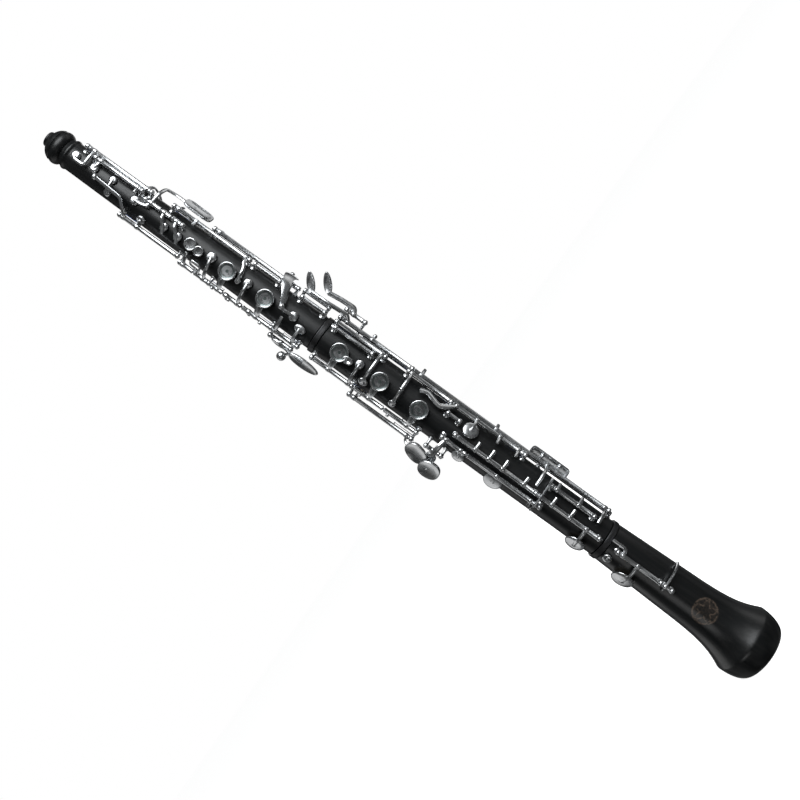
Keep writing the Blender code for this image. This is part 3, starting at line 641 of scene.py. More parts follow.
def plain_bar(low, high, radius, sides):
    """A closed round cutter between two world points."""
    bm = bmesh.new()
    bmesh.ops.create_cone(bm, cap_ends=True, segments=sides, radius1=radius, radius2=radius,
                          depth=(high - low).length)
    turn = (high - low).to_track_quat("Z", "Y").to_matrix().to_4x4()
    return moved(bm, Matrix.Translation((low + high) / 2) @ turn)


def loose(bm):
    """A scene object that holds a shell while it is cut, or while it cuts."""
    mesh = bpy.data.meshes.new("loose")
    bm.to_mesh(mesh)
    bm.free()
    thing = bpy.data.objects.new("loose", mesh)
    bpy.context.scene.collection.objects.link(thing)
    return thing


def cut_out(shell, *tools):
    """Cut tools out of a shell with booleans, and give back a bmesh."""
    body = loose(shell)
    blades = [loose(tool) for tool in tools]
    for blade in blades:
        cut = body.modifiers.new("cut", "BOOLEAN")
        cut.operation = "DIFFERENCE"
        cut.solver = "EXACT"
        cut.object = blade
    bpy.context.view_layer.update()
    graph = bpy.context.evaluated_depsgraph_get()
    mesh = bpy.data.meshes.new_from_object(body.evaluated_get(graph))
    bm = bmesh.new()
    bm.from_mesh(mesh)
    bpy.data.meshes.remove(mesh)
    for thing in [body] + blades:
        bpy.data.objects.remove(thing, do_unlink=True)
    return bm


print("bore at station 300 is", round(2000 * bore_radius(at(300)), 1), "mm")

# %% [markdown]
# A tone hole is drilled to the bore, and a flat bed is faced round it, where the pad
# seats. Two boolean cuts make both for every hole of a joint.

# %% bore tone holes and face their beds
def bored(shell, holes):
    """Cut tone holes, each (station, angle, cup radius in mm), and their flat beds."""
    tools = []
    for station, phi, radius in holes:
        z = at(station)
        wall = wood_radius(z)
        outside = place((z, phi, wall + DRILL_START))
        tools.append(plain_bar(place((z, phi, DRILL_STOP)), outside,
                               HOLE_SHARE * radius * MM, HOLE_SIDES))
        tools.append(plain_bar(place((z, phi, wall - BED_DEPTH)), outside,
                               min(radius * MM + BED_MARGIN, WIDEST_BED * wall), BED_SIDES))
    return cut_out(shell, *tools)


print("tone holes are", HOLE_SHARE, "of their cups")

# %% [markdown]
# The upper joint carries the crown: a rolled lip round the reed well, a dome that swells into a
# full bulb, and a small bead under it, each running into the next. Arcs give them their
# roundness, and a few points carry the dome.

# %% upper joint
RING_HEIGHT, RING_THICKNESS, RING_PROUD = 0.004, 0.0013, 0.0006
UPPER_TENON = (0.0080, 0.017)       # radius and length
LOWER_TENON = (0.0100, 0.018)
CORK_THICKNESS, CORK_INSET = 0.0007, 0.0025
CHAMFER = 0.0004


def below_crown(points):
    """Outline points whose heights are counted down from the crown's top."""
    return [(radius, CROWN_TOP + drop) for radius, drop in points]


def upper_outline():
    shoulder = LOWER_TOP + GAP
    tenon, length = UPPER_TENON
    well = CROWN_TOP - REED_WELL_DEPTH
    lip = arc((0.0046, -0.0010), (0.0009, 0.0010), 90, -20, 6)
    dome = [(0.0052, -0.0020), (0.0064, -0.0027), (0.0078, -0.0036), (0.0091, -0.0046),
            (0.0101, -0.0057), (0.0108, -0.0068), (0.0113, -0.0079)]
    bulb = arc((0.0070, -0.0116), (0.0050, 0.0048), 40, -62, 12)
    bead = arc((0.0099, -0.0194), (0.0011, 0.0014), 62, -62, 8)
    outline = below_crown([(0.0041, 0.0)] + lip + dome + bulb + bead)
    outline += [(UPPER_RADII[1], CROWN_TOP - CROWN_LENGTH + 0.0008),
                (UPPER_RADII[0], shoulder + CHAMFER), (UPPER_RADII[0] - CHAMFER, shoulder),
                (tenon, shoulder), (tenon, shoulder - length + CHAMFER),
                (tenon - CHAMFER, shoulder - length),
                (bore_radius(shoulder - length), shoulder - length),
                (BORE_TOP_RADIUS, well), (REED_WELL_RADIUS, well),
                (REED_WELL_RADIUS, CROWN_TOP - 0.0006)]
    return outline


UPPER_HOLES = [(568.6, 17, 3.2), (553.6, 18, 3.2), (538.8, 22, 2.8), (519.0, 9, 3.3),
               (493.0, -5, 3.0), (481.8, -5, 3.0), (471.7, 0, 4.4), (455.2, 5, 3.6),
               (441.0, 0, 6.3), (425.4, 5, 3.3), (410.0, 0, 6.4), (388.0, 5, 3.4),
               (379.6, -14, 2.8)]
wood = bored(lathe(divided(upper_outline()), WOOD_SIDES, closed=True), UPPER_HOLES)
piece("upper_joint_wood", [wood], WOOD, "blackwood", "upper_joint_body", "upper_joint")
print("upper joint:", len(UPPER_HOLES), "tone holes")

# %% [markdown]
# The lower joint is the plainest: a slow cone with a tenon below and a socket above. The wood
# is turned down for the socket's ring, so that the ring stands only a little proud.

# %% lower joint
def ring_step(radius):
    """The wood is turned down under a socket ring."""
    return radius + RING_PROUD - RING_THICKNESS - GAP


def socket_radius(tenon):
    return tenon + CORK_THICKNESS + 2 * GAP


def lower_outline():
    shoulder = BELL_TOP + GAP
    tenon, length = LOWER_TENON
    socket = socket_radius(UPPER_TENON[0])
    floor = LOWER_TOP - UPPER_TENON[1] - GAP
    step = ring_step(LOWER_RADII[1])
    ring_foot = LOWER_TOP - RING_HEIGHT - GAP
    return [(step, LOWER_TOP), (step, ring_foot), (LOWER_RADII[1] - CHAMFER, ring_foot),
            (LOWER_RADII[1], ring_foot - CHAMFER), (LOWER_RADII[0], shoulder + CHAMFER),
            (LOWER_RADII[0] - CHAMFER, shoulder), (tenon, shoulder),
            (tenon, shoulder - length + CHAMFER), (tenon - CHAMFER, shoulder - length),
            (BORE_FOOT_RADIUS, shoulder - length), (bore_radius(floor), floor),
            (socket, floor), (socket, LOWER_TOP)]


LOWER_HOLES = [(349.0, 0, 6.5), (333.4, 5, 3.2), (316.0, 0, 6.5), (301.0, -33, 3.0),
               (284.0, 0, 6.6), (248.0, 33, 5.8), (244.7, -42, 4.8), (216.2, -42, 7.0),
               (325.4, -31, 3.0), (147.1, -52, 7.2), (323.0, -94, 4.0)]
wood = bored(lathe(divided(lower_outline()), WOOD_SIDES, closed=True), LOWER_HOLES)
piece("lower_joint_wood", [wood], WOOD, "blackwood", "lower_joint_body", "lower_joint")
print("lower joint:", len(LOWER_HOLES), "tone holes")

# %% [markdown]
# The bell's edge is the sharpest line on the oboe: light pools on the flare above it and
# drops away below. The flare is sampled closely, and a quarter ellipse rolls the edge
# under to the rim.

# %% bell
FLARE_STEPS = 30


def bell_outline():
    socket = socket_radius(LOWER_TENON[0])
    floor = BELL_TOP - LOWER_TENON[1] - GAP
    step = ring_step(BELL_TOP_RADIUS)
    ring_foot = BELL_TOP - RING_HEIGHT - GAP
    drop = (BELL_WAIST_HEIGHT - BELL_EDGE_HEIGHT) / FLARE_STEPS
    flare = [(bell_radius(BELL_WAIST_HEIGHT - drop * count), BELL_WAIST_HEIGHT - drop * count)
             for count in range(FLARE_STEPS)]
    roll = arc((BELL_FOOT_RADIUS, BELL_EDGE_HEIGHT - 0.0005),
               (BELL_EDGE_RADIUS - BELL_FOOT_RADIUS, BELL_EDGE_HEIGHT - 0.0005), 0, -90, 16)
    return ([(step, BELL_TOP), (step, ring_foot), (BELL_TOP_RADIUS - CHAMFER, ring_foot),
             (BELL_TOP_RADIUS, ring_foot - CHAMFER)] + flare
            + [(BELL_EDGE_RADIUS - 0.0002, BELL_EDGE_HEIGHT + 0.0002)] + roll
            + [(BELL_MOUTH_RADIUS + 0.0006, 0.0), (BELL_MOUTH_RADIUS, 0.0006),
               (BELL_MOUTH_RADIUS - 0.0010, BELL_EDGE_HEIGHT),
               (0.5 * (BELL_MOUTH_RADIUS + BORE_FOOT_RADIUS), BELL_WAIST_HEIGHT),
               (BORE_FOOT_RADIUS, floor), (socket, floor), (socket, BELL_TOP)])


BELL_HOLES = [(107.4, -51, 8.0)]
wood = bored(lathe(divided(bell_outline()), WOOD_SIDES, closed=True), BELL_HOLES)
bell_piece = piece("bell_wood", [wood], BELL_WOOD, "blackwood", "bell_body", "bell")
print("bell:", len(bell_piece.data.polygons), "faces")

# %% [markdown]
# Each socket has a silver ring that stops the wood from splitting, and each tenon a lap of
# cork. Both are closed outlines, spun: the ring has a rolled outside with two fine grooves.

# %% rings and corks
RING_SIDES = 64
RING_ROLL = 0.0004                  # radius of a ring's rolled edges
RING_GROOVE = 0.00012


def socket_ring(name, node, wood, top, body):
    outer = wood + RING_PROUD
    inner = outer - RING_THICKNESS
    middle_of_roll = outer - RING_ROLL
    outline = [(inner, top)]
    outline += arc((middle_of_roll, top - RING_ROLL), (RING_ROLL, RING_ROLL), 90, 0, 4)
    for share in (0.25, 0.75):
        middle = top - share * RING_HEIGHT
        outline += [(outer, middle + RING_GROOVE), (outer - RING_GROOVE, middle),
                    (outer, middle - RING_GROOVE)]
    foot = top - RING_HEIGHT
    outline += arc((middle_of_roll, foot + RING_ROLL), (RING_ROLL, RING_ROLL), 0, -90, 4)
    outline.append((inner, foot))
    # The ring takes the near-black copy of the silver, whose dark colour is painted shade.
    piece(name, [lathe(outline, RING_SIDES, closed=True)], SHADED_SILVER, "silver_plate", body, node)


def tenon_cork(name, node, tenon, shoulder, body):
    radius, length = tenon
    inner = radius + GAP
    outer = inner + CORK_THICKNESS
    top, low = shoulder - CORK_INSET, shoulder - length + CORK_INSET
    outline = [(inner, top), (outer - 0.0003, top), (outer, top - 0.0006),
               (outer, low + 0.0006), (outer - 0.0003, low), (inner, low)]
    piece(name, [lathe(outline, RING_SIDES, closed=True)], CORK, "cork", body, node)


socket_ring("lower_joint_ring_silver", "lower_joint_socket_ring", LOWER_RADII[1], LOWER_TOP,
            "lower_joint_body")
socket_ring("bell_ring_silver", "bell_socket_ring", BELL_TOP_RADIUS, BELL_TOP, "bell_body")
tenon_cork("upper_tenon_lap", "upper_tenon_cork", UPPER_TENON, LOWER_TOP + GAP,
           "upper_joint_body")
tenon_cork("lower_tenon_lap", "lower_tenon_cork", LOWER_TENON, BELL_TOP + GAP,
           "lower_joint_body")
print("rings and corks:", made[-4:])

# %% [markdown]
# ## Posts and rods
# A post is screwed into the wood. Its stem swells to a round head, faced flat on both
# sides, and the hinge rod passes through. The rod's slotted end shows at one post.

# %% post, rod and spring shapes
ROD_RADIUS = 0.00085
TUBE_RADIUS = 0.0017
HEAD_RADIUS, HEAD_LENGTH = 0.0020, 0.0024
SLOT_WIDTH = 0.0003                 # the screwdriver slot of a rod or a screw


def post(stop):
    """A stem on a small foot, and a barrel head round the rod."""
    z, phi, rho = stop
    height = rho - wood_radius(z)
    stem = [(0.0, 0.0), (0.0022, 0.0), (0.0022, 0.0003), (0.0019, 0.00055)]
    stem += [(0.00125, 0.0011), (0.0010, 0.5 * height), (0.0011, height - 0.0016),
             (0.0013, height - 0.0010), (0.0, height - 0.0010)]
    foot = moved(lathe(stem, 16), standing((z, phi, wood_radius(z) + 0.00005)))
    half = HEAD_LENGTH / 2
    barrel = [(0.0, -half)] + arc((0.0, 0.0), (HEAD_RADIUS, HEAD_RADIUS), -37, 37, 8)
    barrel += [(0.0, half)]
    head = moved(lathe(barrel, 18), along_bore(stop))
    return [foot, head]


def hinge_rod(low, high, line):
    """The rod, with a coned end below and a slotted screw head above."""
    middle = (low + high) / 2
    half = (high - low) / 2
    outline = [(0.0, -half), (0.0005, -half), (ROD_RADIUS, -half + 0.0006),
               (ROD_RADIUS, half - 0.0005), (0.00125, half - 0.0005), (0.00125, half - 0.0001),
               (0.00105, half), (0.0, half)]
    rod = lathe(outline, 16)
    slot = bmesh.new()
    bmesh.ops.create_cube(slot, size=1.0)
    size = Matrix.Diagonal((0.003, SLOT_WIDTH, 0.0004, 1.0))
    slot.transform(Matrix.Translation((0, 0, half)) @ size)
    return moved(cut_out(rod, slot), along_bore((middle, line.phi, line.rho)))


print("posts have a", 2000 * HEAD_RADIUS, "mm head")

# %% [markdown]
# Nineteen rods carry the keywork. Each runs between posts, and a long one has a post between
# two keys as well, so that it can't bend. The frame's rod node gives each rod's length, and
# the hinge gives its line.

# %% set the posts and rods
def rod_and_posts(node, key_body, stations):
    """Posts at the given stations on the line of a key's hinge, and the rod through them."""
    line, body = hinge_line(key_body)
    shells = []
    for station in stations:
        shells += post(on(line, station))
    piece(node + "_posts", shells, SILVER, "silver_plate", body)
    low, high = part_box(node)[0].z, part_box(node)[1].z
    piece(node + "_steel", [hinge_rod(low, high, line)], STEEL, "hinge_steel", body, node)


rod_and_posts("octave_rod", "thumb_octave_key_body", (566.0, 513.5))
rod_and_posts("d_trill_rod", "d_trill_key_body", (556.2, 518.6))
rod_and_posts("side_octave_rod", "side_octave_key_body", (512.6, 483.0))
rod_and_posts("upper_vent_rod", "b_flat_vent_key_body", (496.0, 434.0))
rod_and_posts("g_sharp_rod", "g_sharp_key_body", (466.0, 397.0))
rod_and_posts("c_trill_rod", "c_trill_key_body", (523.0, 475.6))
rod_and_posts("left_hand_stack_rod", "a_key_body", (471.8, 448.0, 396.6, 375.0))
rod_and_posts("right_trill_rod", "right_hand_trill_key_body", (395.0, 378.0))
rod_and_posts("f_resonance_rod", "f_resonance_key_body", (362.6, 322.6))
rod_and_posts("low_d_rod", "low_d_key_body", (304.2, 269.5, 208.5))
rod_and_posts("low_b_flat_rod", "low_b_flat_link_body", (362.6, 303.5, 141.0))
rod_and_posts("left_lever_rod", "left_b_flat_lever_body", (362.6, 347.5))
rod_and_posts("right_hand_stack_rod", "e_key_body", (362.6, 329.7, 276.5))
rod_and_posts("e_flat_rod", "e_flat_key_body", (328.0, 276.5))
rod_and_posts("low_c_touch_rod", "low_c_touch_body", (266.0, 253.5))
rod_and_posts("low_c_rod", "low_c_key_body", (261.0, 181.5))
rod_and_posts("low_b_rod", "low_b_key_body", (254.7, 189.0, 137.5))
rod_and_posts("bridge_rod", "b_flat_bridge_lever_body", (182.8, 148.2))
rod_and_posts("bell_rod", "bell_b_flat_key_body", (122.5, 88.0))
print("rods:", sum(name.endswith("_steel") for name in made))

# %% [markdown]
# ## Key parts
# A key is a tube that turns on its rod, arms soldered to the tube, and a cup or a touch at
# each arm's end. A saddle, a short thick ring, backs each solder joint.

# %% tube, saddle and arm
Part = namedtuple("Part", "silver pads plates")


def only(*silver):
    return Part(list(silver), [], [])


def tube(low, high, line):
    """A hinge tube with a turned collar at each end, closed like a thick-walled pipe."""
    bore = ROD_RADIUS + 0.00012
    thick, thin = TUBE_RADIUS, TUBE_RADIUS - 0.00012
    outline = []
    for end, inward in ((high, -1), (low, 1)):
        collar = [(bore, end), (thick - 0.00025, end), (thick, end + inward * 0.00025),
                  (thick, end + inward * 0.0010), (thin, end + inward * 0.0012)]
        outline += collar if end == high else collar[::-1]
    shell = lathe(outline, ROUND, closed=True)
    return moved(shell, Matrix.Translation(place((0.0, line.phi, line.rho))))


def saddle(line, station):
    """The thick ring on a tube where an arm is soldered."""
    profile = arc((TUBE_RADIUS - 0.0002, 0.0), (0.00040, 0.0015), 90, -90, 8)
    profile += [(ROD_RADIUS + 0.0002, -0.0015), (ROD_RADIUS + 0.0002, 0.0015)]
    return moved(lathe(profile, ROUND, closed=True), along_bore(on(line, station)))


def arm(*stops, width=1.35, height=0.9, end_share=0.85):
    return only(bar(stops, width, height, end_share))


WEDGE = dict(width=1.5, height=0.6, end_share=1.9)      # an arm that spreads under a plate


def rooted(line, station, *stops, **shape):
    """An arm that starts at a saddle on its tube."""
    whole = arm(on(line, station), *stops, **shape)
    return Part(whole.silver + [saddle(line, station)], [], [])


print("tube wall is", round(1000 * (TUBE_RADIUS - ROD_RADIUS), 2), "mm")

# %% [markdown]
# A pad cup is a shallow dome with a rolled rim and a small boss where the arm lands. The
# pad sits in the hollow underneath, and its lip of skin shows below the rim.

# %% pad cup
CUP_HEIGHT = 0.0022
HOLLOW = 0.0007                     # how deep a cup is hollowed for its pad
PAD_TOP, PAD_LIP = 0.0006, 0.0004   # a pad's flat top, and the lip that shows under the rim
SHUT_GAP, OPEN_GAP = 0.0005, 0.0019


def lengthened(length, radius):
    """Draws a round cup out along the bore into an oval."""
    return Matrix.Diagonal((1.0, (length or radius) / radius, 1.0, 1.0))


def pad_outline(radius):
    """A flat disc whose lower edge is rounded where the skin is drawn over the felt."""
    lip = arc((radius - PAD_LIP, 0.0), (PAD_LIP, PAD_LIP), 0, -90, 4)
    return [(0.0, PAD_TOP), (radius, PAD_TOP)] + lip + [(0.0, -PAD_LIP)]


def cup(station, phi, radius, gap=SHUT_GAP, length=None):
    """A domed cup over its tone hole, with its pad; sizes in millimetres."""
    r = radius * MM
    h = CUP_HEIGHT
    rim = arc((r - 0.00035, 0.00035), (0.00035, 0.00035), 45, -90, 5)
    dome = [(0.0, h), (0.16 * r, h), (0.24 * r, h - 0.00025)]
    dome += arc((0.22 * r, h - 0.0013), (0.74 * r, 0.00105), 82, 4, 8)
    inside = [(r - 0.0006, 0.0), (r - 0.0006, HOLLOW), (0.0, HOLLOW)]
    shell = lathe(dome + rim + inside, 32)
    pad = lathe(pad_outline(r - 0.0007), 28)
    where = standing(over(station, phi, gap / MM)) @ lengthened(length, radius)
    return Part([moved(shell, where)], [moved(pad, where)], [])


def cup_top(station, phi, gap=SHUT_GAP):
    """The stop on a cup's top where its arm is soldered on."""
    z = at(station)
    return (z, phi, wood_radius(z) + gap + 0.85 * CUP_HEIGHT)


print("a cup is", 1000 * CUP_HEIGHT, "mm high")

# %% [markdown]
# A finger plate stands on its cup like a shallow dish: a bright rolled rim, and a hollow whose
# dark colour is painted shade, with some finger wear in the middle. Its dish is a piece of its
# own, with the "radius" attribute that its finish reads.

# %% finger plate
DISH_DEPTH = 0.0005


def plate_cup(station, phi, radius, gap=OPEN_GAP, length=None, perforated=False):
    """A cup whose top is a dished finger plate."""
    r = radius * MM
    h = CUP_HEIGHT
    rim = arc((r - 0.00055, h - 0.00035), (0.00055, 0.00045), 150, 0, 8)
    foot = arc((r - 0.00045, 0.0004), (0.00035, 0.0004), 0, -90, 5)
    inside = [(r - 0.0009, 0.0), (r - 0.0009, HOLLOW), (0.0, HOLLOW)]
    shell = lathe([(0.0, h - 0.0009), (r - 0.0014, h - 0.0006)] + rim + foot + inside, 40)
    middle = [(0.0008, h - 0.0012), (0.0009, h - 0.0008)] if perforated else [(0.0, h - 0.00085)]
    dish = middle + [(share * r, h - 0.00085 + DISH_DEPTH * share ** 2)
                     for share in (0.2, 0.35, 0.5, 0.65, 0.78)]
    dish += [(r - 0.0010, h - 0.00035), (r - 0.0010, h - 0.0008)]
    dish += [(0.0008, h - 0.0012)] if perforated else [(0.0, h - 0.0012)]
    face = lathe(dish, 40, closed=perforated)
    layer = face.verts.layers.float.new("radius")
    for vert in face.verts:
        vert[layer] = vert.co.xy.length / MM
    pad = lathe(pad_outline(r - 0.0010), 28)
    where = standing(over(station, phi, gap / MM)) @ lengthened(length, radius)
    return Part([moved(shell, where)], [moved(pad, where)], [moved(face, where)])


print("finger plates are dished by", 1000 * DISH_DEPTH, "mm")

# %% [markdown]
# A touch is a thin oval that a finger slides onto: its edge is rounded, and its face is
# slightly hollow. Narrowing one end makes a leaf or a spatula from the same disc.

# %% touches
TOUCH_THICKNESS = 0.0013


def oval(centre, face, along, half_length, half_width, narrow=0.0, thick=TOUCH_THICKNESS,
         square=2.0):
    """A rounded plate in a world frame: narrow thins its far end, and square fills corners."""
    face = Vector(face).normalized()
    along = Vector(along)
    along = (along - face * along.dot(face)).normalized()
    across = face.cross(along)
    edge = arc((0.955, 0.0), (0.045, 0.5), -90, 90, 8)
    outline = [(0.0, -0.5), (0.5, -0.5)] + edge
    outline += [(0.86, 0.42), (0.7, 0.22), (0.5, 0.10), (0.25, 0.03), (0.0, 0.0)]
    bm = lathe(outline, 36)
    for vert in bm.verts:
        radius = vert.co.xy.length or 1.0
        fill = abs(vert.co.x / radius) ** square + abs(vert.co.y / radius) ** square
        vert.co.xy *= fill ** (-1.0 / square) if fill else 1.0
        vert.co.y *= 1.0 - narrow * vert.co.x
    axes = Matrix((along * half_length, across * half_width, face * thick)).transposed()
    return moved(bm, Matrix.Translation(centre) @ axes.to_4x4())


def touch(stop, face, along, half_length, half_width, **shape):
    return only(oval(place(stop), face, along, half_length, half_width, **shape))


def ear(stop, half_length, half_width):
    """A leaf-shaped touch that rises outwards from the end of its arm."""
    along = Vector((0.75, 0.0, 0.66)).normalized()
    centre = place(stop) + along * (half_length - 0.0012)
    return only(oval(centre, (-0.15, -0.95, 0.15), along, half_length, half_width,
                     narrow=0.12, thick=0.0016))


def facing(phi):
    """A level direction away from the bore at an angle."""
    return place((0.0, phi, 1.0))


def knob(stop, radius):
    ball = lathe(arc((0.0, 0.0), (radius, radius), 90, -90, 12), 24)
    return only(moved(ball, standing(stop)))


UP = Vector((0.0, 0.0, 1.0))
print("touches are", 1000 * TOUCH_THICKNESS, "mm thick")

# %% [markdown]
# Keys that lean on one another meet at an adjusting screw: a slotted head in a lug. Needle
# springs run from a post to a hook on the tube, and they return the key.

# %% adjusting screws and springs
def adjuster(stop, radius=0.0012, height=0.0016):
    """A slotted screw that stands away from the bore."""
    outline = [(0.0, 0.0), (radius * 0.75, 0.0), (radius * 0.75, height * 0.4),
               (radius, height * 0.45), (radius, height * 0.9), (radius * 0.85, height),
               (0.0, height)]
    blade = bmesh.new()
    bmesh.ops.create_cube(blade, size=1.0)
    size = Matrix.Diagonal((0.004, SLOT_WIDTH, 0.0007, 1.0))
    blade.transform(Matrix.Translation((0, 0, height)) @ size)
    return only(moved(cut_out(lathe(outline, 18), blade), standing(stop)))


SPRING_DROP = 0.0026                # a spring lies this far under its tube


def spring(key, start, end):
    """A needle from a post at one station to a hook on the key's tube at another."""
    line, body = hinge_line(key + "_body")
    sunk = line.rho - SPRING_DROP
    needle = bar([(at(start), line.phi, sunk), (at(end), line.phi, sunk)], 0.28, 0.28, 0.5)
    piece(key + "_spring", [needle], BLUED, "hinge_steel", body)
    hook = bar([on(line, end), (at(end), line.phi, sunk - 0.0002)], 0.55, 0.55, 0.7)
    return Part([hook], [], [])


print("springs lie", SPRING_DROP * 1000, "mm under their tubes")

# %% [markdown]
# `key` gathers the parts of one key and files them by finish: silverwork, pads and finger
# plates. All three ride on the key's own body, so they turn together.

# %% build one key
def span_between(high_post, low_post):
    inset = HEAD_LENGTH / 2 / MM
    return (high_post - inset, low_post + inset)


def key(name, span, *parts):
    """Make a key from its tube's span of stations and its parts."""
    body = name + "_body"
    line, _ = hinge_line(body)
    top, low = at(max(span)) - GAP, at(min(span)) + GAP
    silver = [tube(low, top, line)] + [shell for part in parts for shell in part.silver]
    pads = [shell for part in parts for shell in part.pads]
    plates = [shell for part in parts for shell in part.plates]
    piece(name + "_silverwork", silver, SILVER, "silver_plate", body, name)
    if pads:
        piece(name + "_pads", pads, SKIN, "cork", body)
    if plates:
        piece(name + "_finger_plate", plates, PLATE, "plateau_silver", body)


def line_of(name):
    return hinge_line(name + "_body")[0]


# %% [markdown]
# ## Keys of the upper joint
# Near the crown are the octave and trill keys. The thumb octave key's touch is at the
# back, and a long arm carries its small cup to the front.

# %% octave and trill keys
line = line_of("thumb_octave_key")
key("thumb_octave_key", span_between(566.0, 513.5),
    rooted(line, 560.0, over(560.0, 30, 4.4), over(560.0, 4, 3.2), over(569.0, 4, 3.0),
           cup_top(568.6, 17)),
    cup(568.6, 17, 3.2),
    rooted(line, 517.5, over(516.0, 110, 4.2), over(508.0, 168, 4.6)),
    touch(over(504.0, 172, 5.2), facing(175), UP, 0.0085, 0.0050, narrow=0.15),
    spring("thumb_octave_key", 566.0, 551.0))

line = line_of("d_trill_key")
key("d_trill_key", span_between(556.2, 518.6),
    rooted(line, 552.3, cup_top(553.6, 18)),
    cup(553.6, 18, 3.2),
    rooted(line, 522.2, over(521.7, 24, 4.6)),
    spring("d_trill_key", 556.2, 542.0))

line = line_of("side_octave_key")
key("side_octave_key", (511.0, 500.6),
    rooted(line, 509.2, over(509.4, 14, 4.0), over(514.0, 10, 4.0), cup_top(519.0, 9)),
    cup(519.0, 9, 3.3),
    rooted(line, 508.4, over(508.0, 50, 7.6), over(507.4, 76, 9.2), over(500.0, 82, 9.3),
           over(484.0, 79, 9.4), end_share=1.0),
    touch(over(481.5, 77, 9.8), facing(58), (0.05, 0, 1), 0.0112, 0.0042, square=4.0,
          thick=0.0017))

line = line_of("c_trill_key")
key("c_trill_key", span_between(523.0, 475.6),
    rooted(line, 520.2, over(520.2, -42, 4.4), over(527.6, -8, 3.6), over(549.0, -3, 3.4),
           width=1.5, end_share=1.0),
    knob(over(549.4, -3, 3.5), 0.0020),
    arm(cup_top(537.8, -26), over(538.2, -3, 3.6), cup_top(538.8, 22), width=0.9,
        height=0.7, end_share=1.0),
    cup(537.8, -26, 2.6),
    cup(538.8, 22, 2.8),
    rooted(line, 509.0, cup_top(509.0, -33)),
    cup(509.0, -34, 3.2),
    spring("c_trill_key", 523.0, 508.0))
print("made", made[-6:])

# %% [markdown]
# Three small vent keys. Two of them share a short rod with the side octave key, and the third
# lies along the player's left.

# %% vent keys
line = line_of("upper_c_vent_key")
key("upper_c_vent_key", (500.0, 492.2),
    rooted(line, 497.6, over(497.0, 12, 4.4), cup_top(493.0, -5), over(491.6, -24, 3.0)),
    cup(493.0, -5, 3.0))
key("upper_b_flat_vent_key", (491.6, 484.2),
    rooted(line, 487.6, over(486.6, 12, 4.4), cup_top(481.8, -5), over(480.2, -22, 3.0)),
    cup(481.8, -5, 3.0))

line = line_of("b_flat_vent_key")
key("b_flat_vent_key", span_between(496.0, 434.0),
    rooted(line, 437.2, over(436.8, 50, 4.4), over(432.6, 26, 4.2), cup_top(432.0, -6)),
    cup(432.0, -6, 2.2),
    rooted(line, 492.5, over(492.0, 88, 4.6)),
    rooted(line, 478.0, over(478.0, 44, 4.6)),
    spring("b_flat_vent_key", 496.0, 482.0))
print("made", made[-4:])

# %% [markdown]
# The left hand's finger plates share one rod at the side. The topmost is the half-hole
# plate, on which the first finger rolls to uncover a tiny hole.

# %% left-hand stack
line = line_of("a_key")
key("half_hole_plate", (470.6, 461.0),
    rooted(line, 469.4, over(470.8, -24, 3.0)),
    plate_cup(471.7, 0, 4.4, SHUT_GAP, perforated=True),
    plate_cup(464.6, -3, 3.6, SHUT_GAP))
key("half_hole_vent_key", (460.4, 449.2),
    rooted(line, 453.0, over(453.4, -30, 4.6), cup_top(455.2, 5)),
    cup(455.2, 5, 3.6),
    arm(on(line, 457.6), over(457.6, -32, 4.4), over(465.2, -30, 4.4), over(465.2, -46, 4.4),
        over(457.6, -48, 4.4), width=0.8, height=0.7, end_share=1.0),
    adjuster(over(459.5, -47, 4.8)))
key("a_key", (446.8, 436.8),
    rooted(line, 441.0, over(441.0, -25, 3.6), **WEDGE),
    plate_cup(441.0, 0, 6.3),
    adjuster(over(444.6, -63, 5.6)),
    spring("a_key", 448.0, 437.5))
key("c_vent_key", (436.2, 421.2),
    rooted(line, 424.6, over(424.6, -30, 4.6), cup_top(425.4, 5)),
    cup(425.4, 5, 3.3),
    rooted(line, 433.6, over(433.6, -84, 6.0)),
    adjuster(over(431.0, -63, 5.6)))
key("g_key", (420.6, 397.8),
    rooted(line, 409.4, over(410.0, -25, 3.6), **WEDGE),
    plate_cup(410.0, 0, 6.4),
    rooted(line, 415.0, over(415.0, -86, 5.6)),
    adjuster(over(404.8, -63, 5.6)),
    spring("g_key", 396.6, 408.0))
key("f_sharp_vent_key", (395.4, 376.2),
    rooted(line, 380.0, over(380.0, -34, 4.4), cup_top(379.6, -14)),
    cup(379.6, -14, 2.8, SHUT_GAP, 4.4),
    rooted(line, 393.0, over(393.4, -30, 5.0), over(393.6, -10, 5.0)),
    spring("f_sharp_vent_key", 375.0, 388.0))
print("made", made[-8:])

# %% [markdown]
# Two side keys sit low on the upper joint. The G sharp key has a broad paddle for the left
# little finger, and the trill key's touch hangs over the lower joint, where the right first
# finger can push it.

# %% side keys of the upper joint
line = line_of("g_sharp_key")
key("g_sharp_key", span_between(466.0, 397.0),
    rooted(line, 402.6, over(401.6, 56, 6.4), over(399.6, 28, 5.0), over(398.6, 4, 4.2),
           cup_top(388.0, 5)),
    cup(388.0, 5, 3.4),
    rooted(line, 404.5, over(404.5, 88, 8.2)),
    arm(over(405.4, 92, 9.4), over(406.2, 76, 9.6), over(405.4, 60, 8.8), over(402.6, 44, 7.6),
        over(400.0, 30, 6.4), over(398.4, 16, 5.4), width=4.9, height=1.1, end_share=0.42),
    knob(over(406.4, 92, 9.6), 0.0019),
    knob(over(397.8, 8, 5.0), 0.0022),
    rooted(line, 462.0, over(462.0, 102, 6.6)),
    spring("g_sharp_key", 466.0, 450.0))

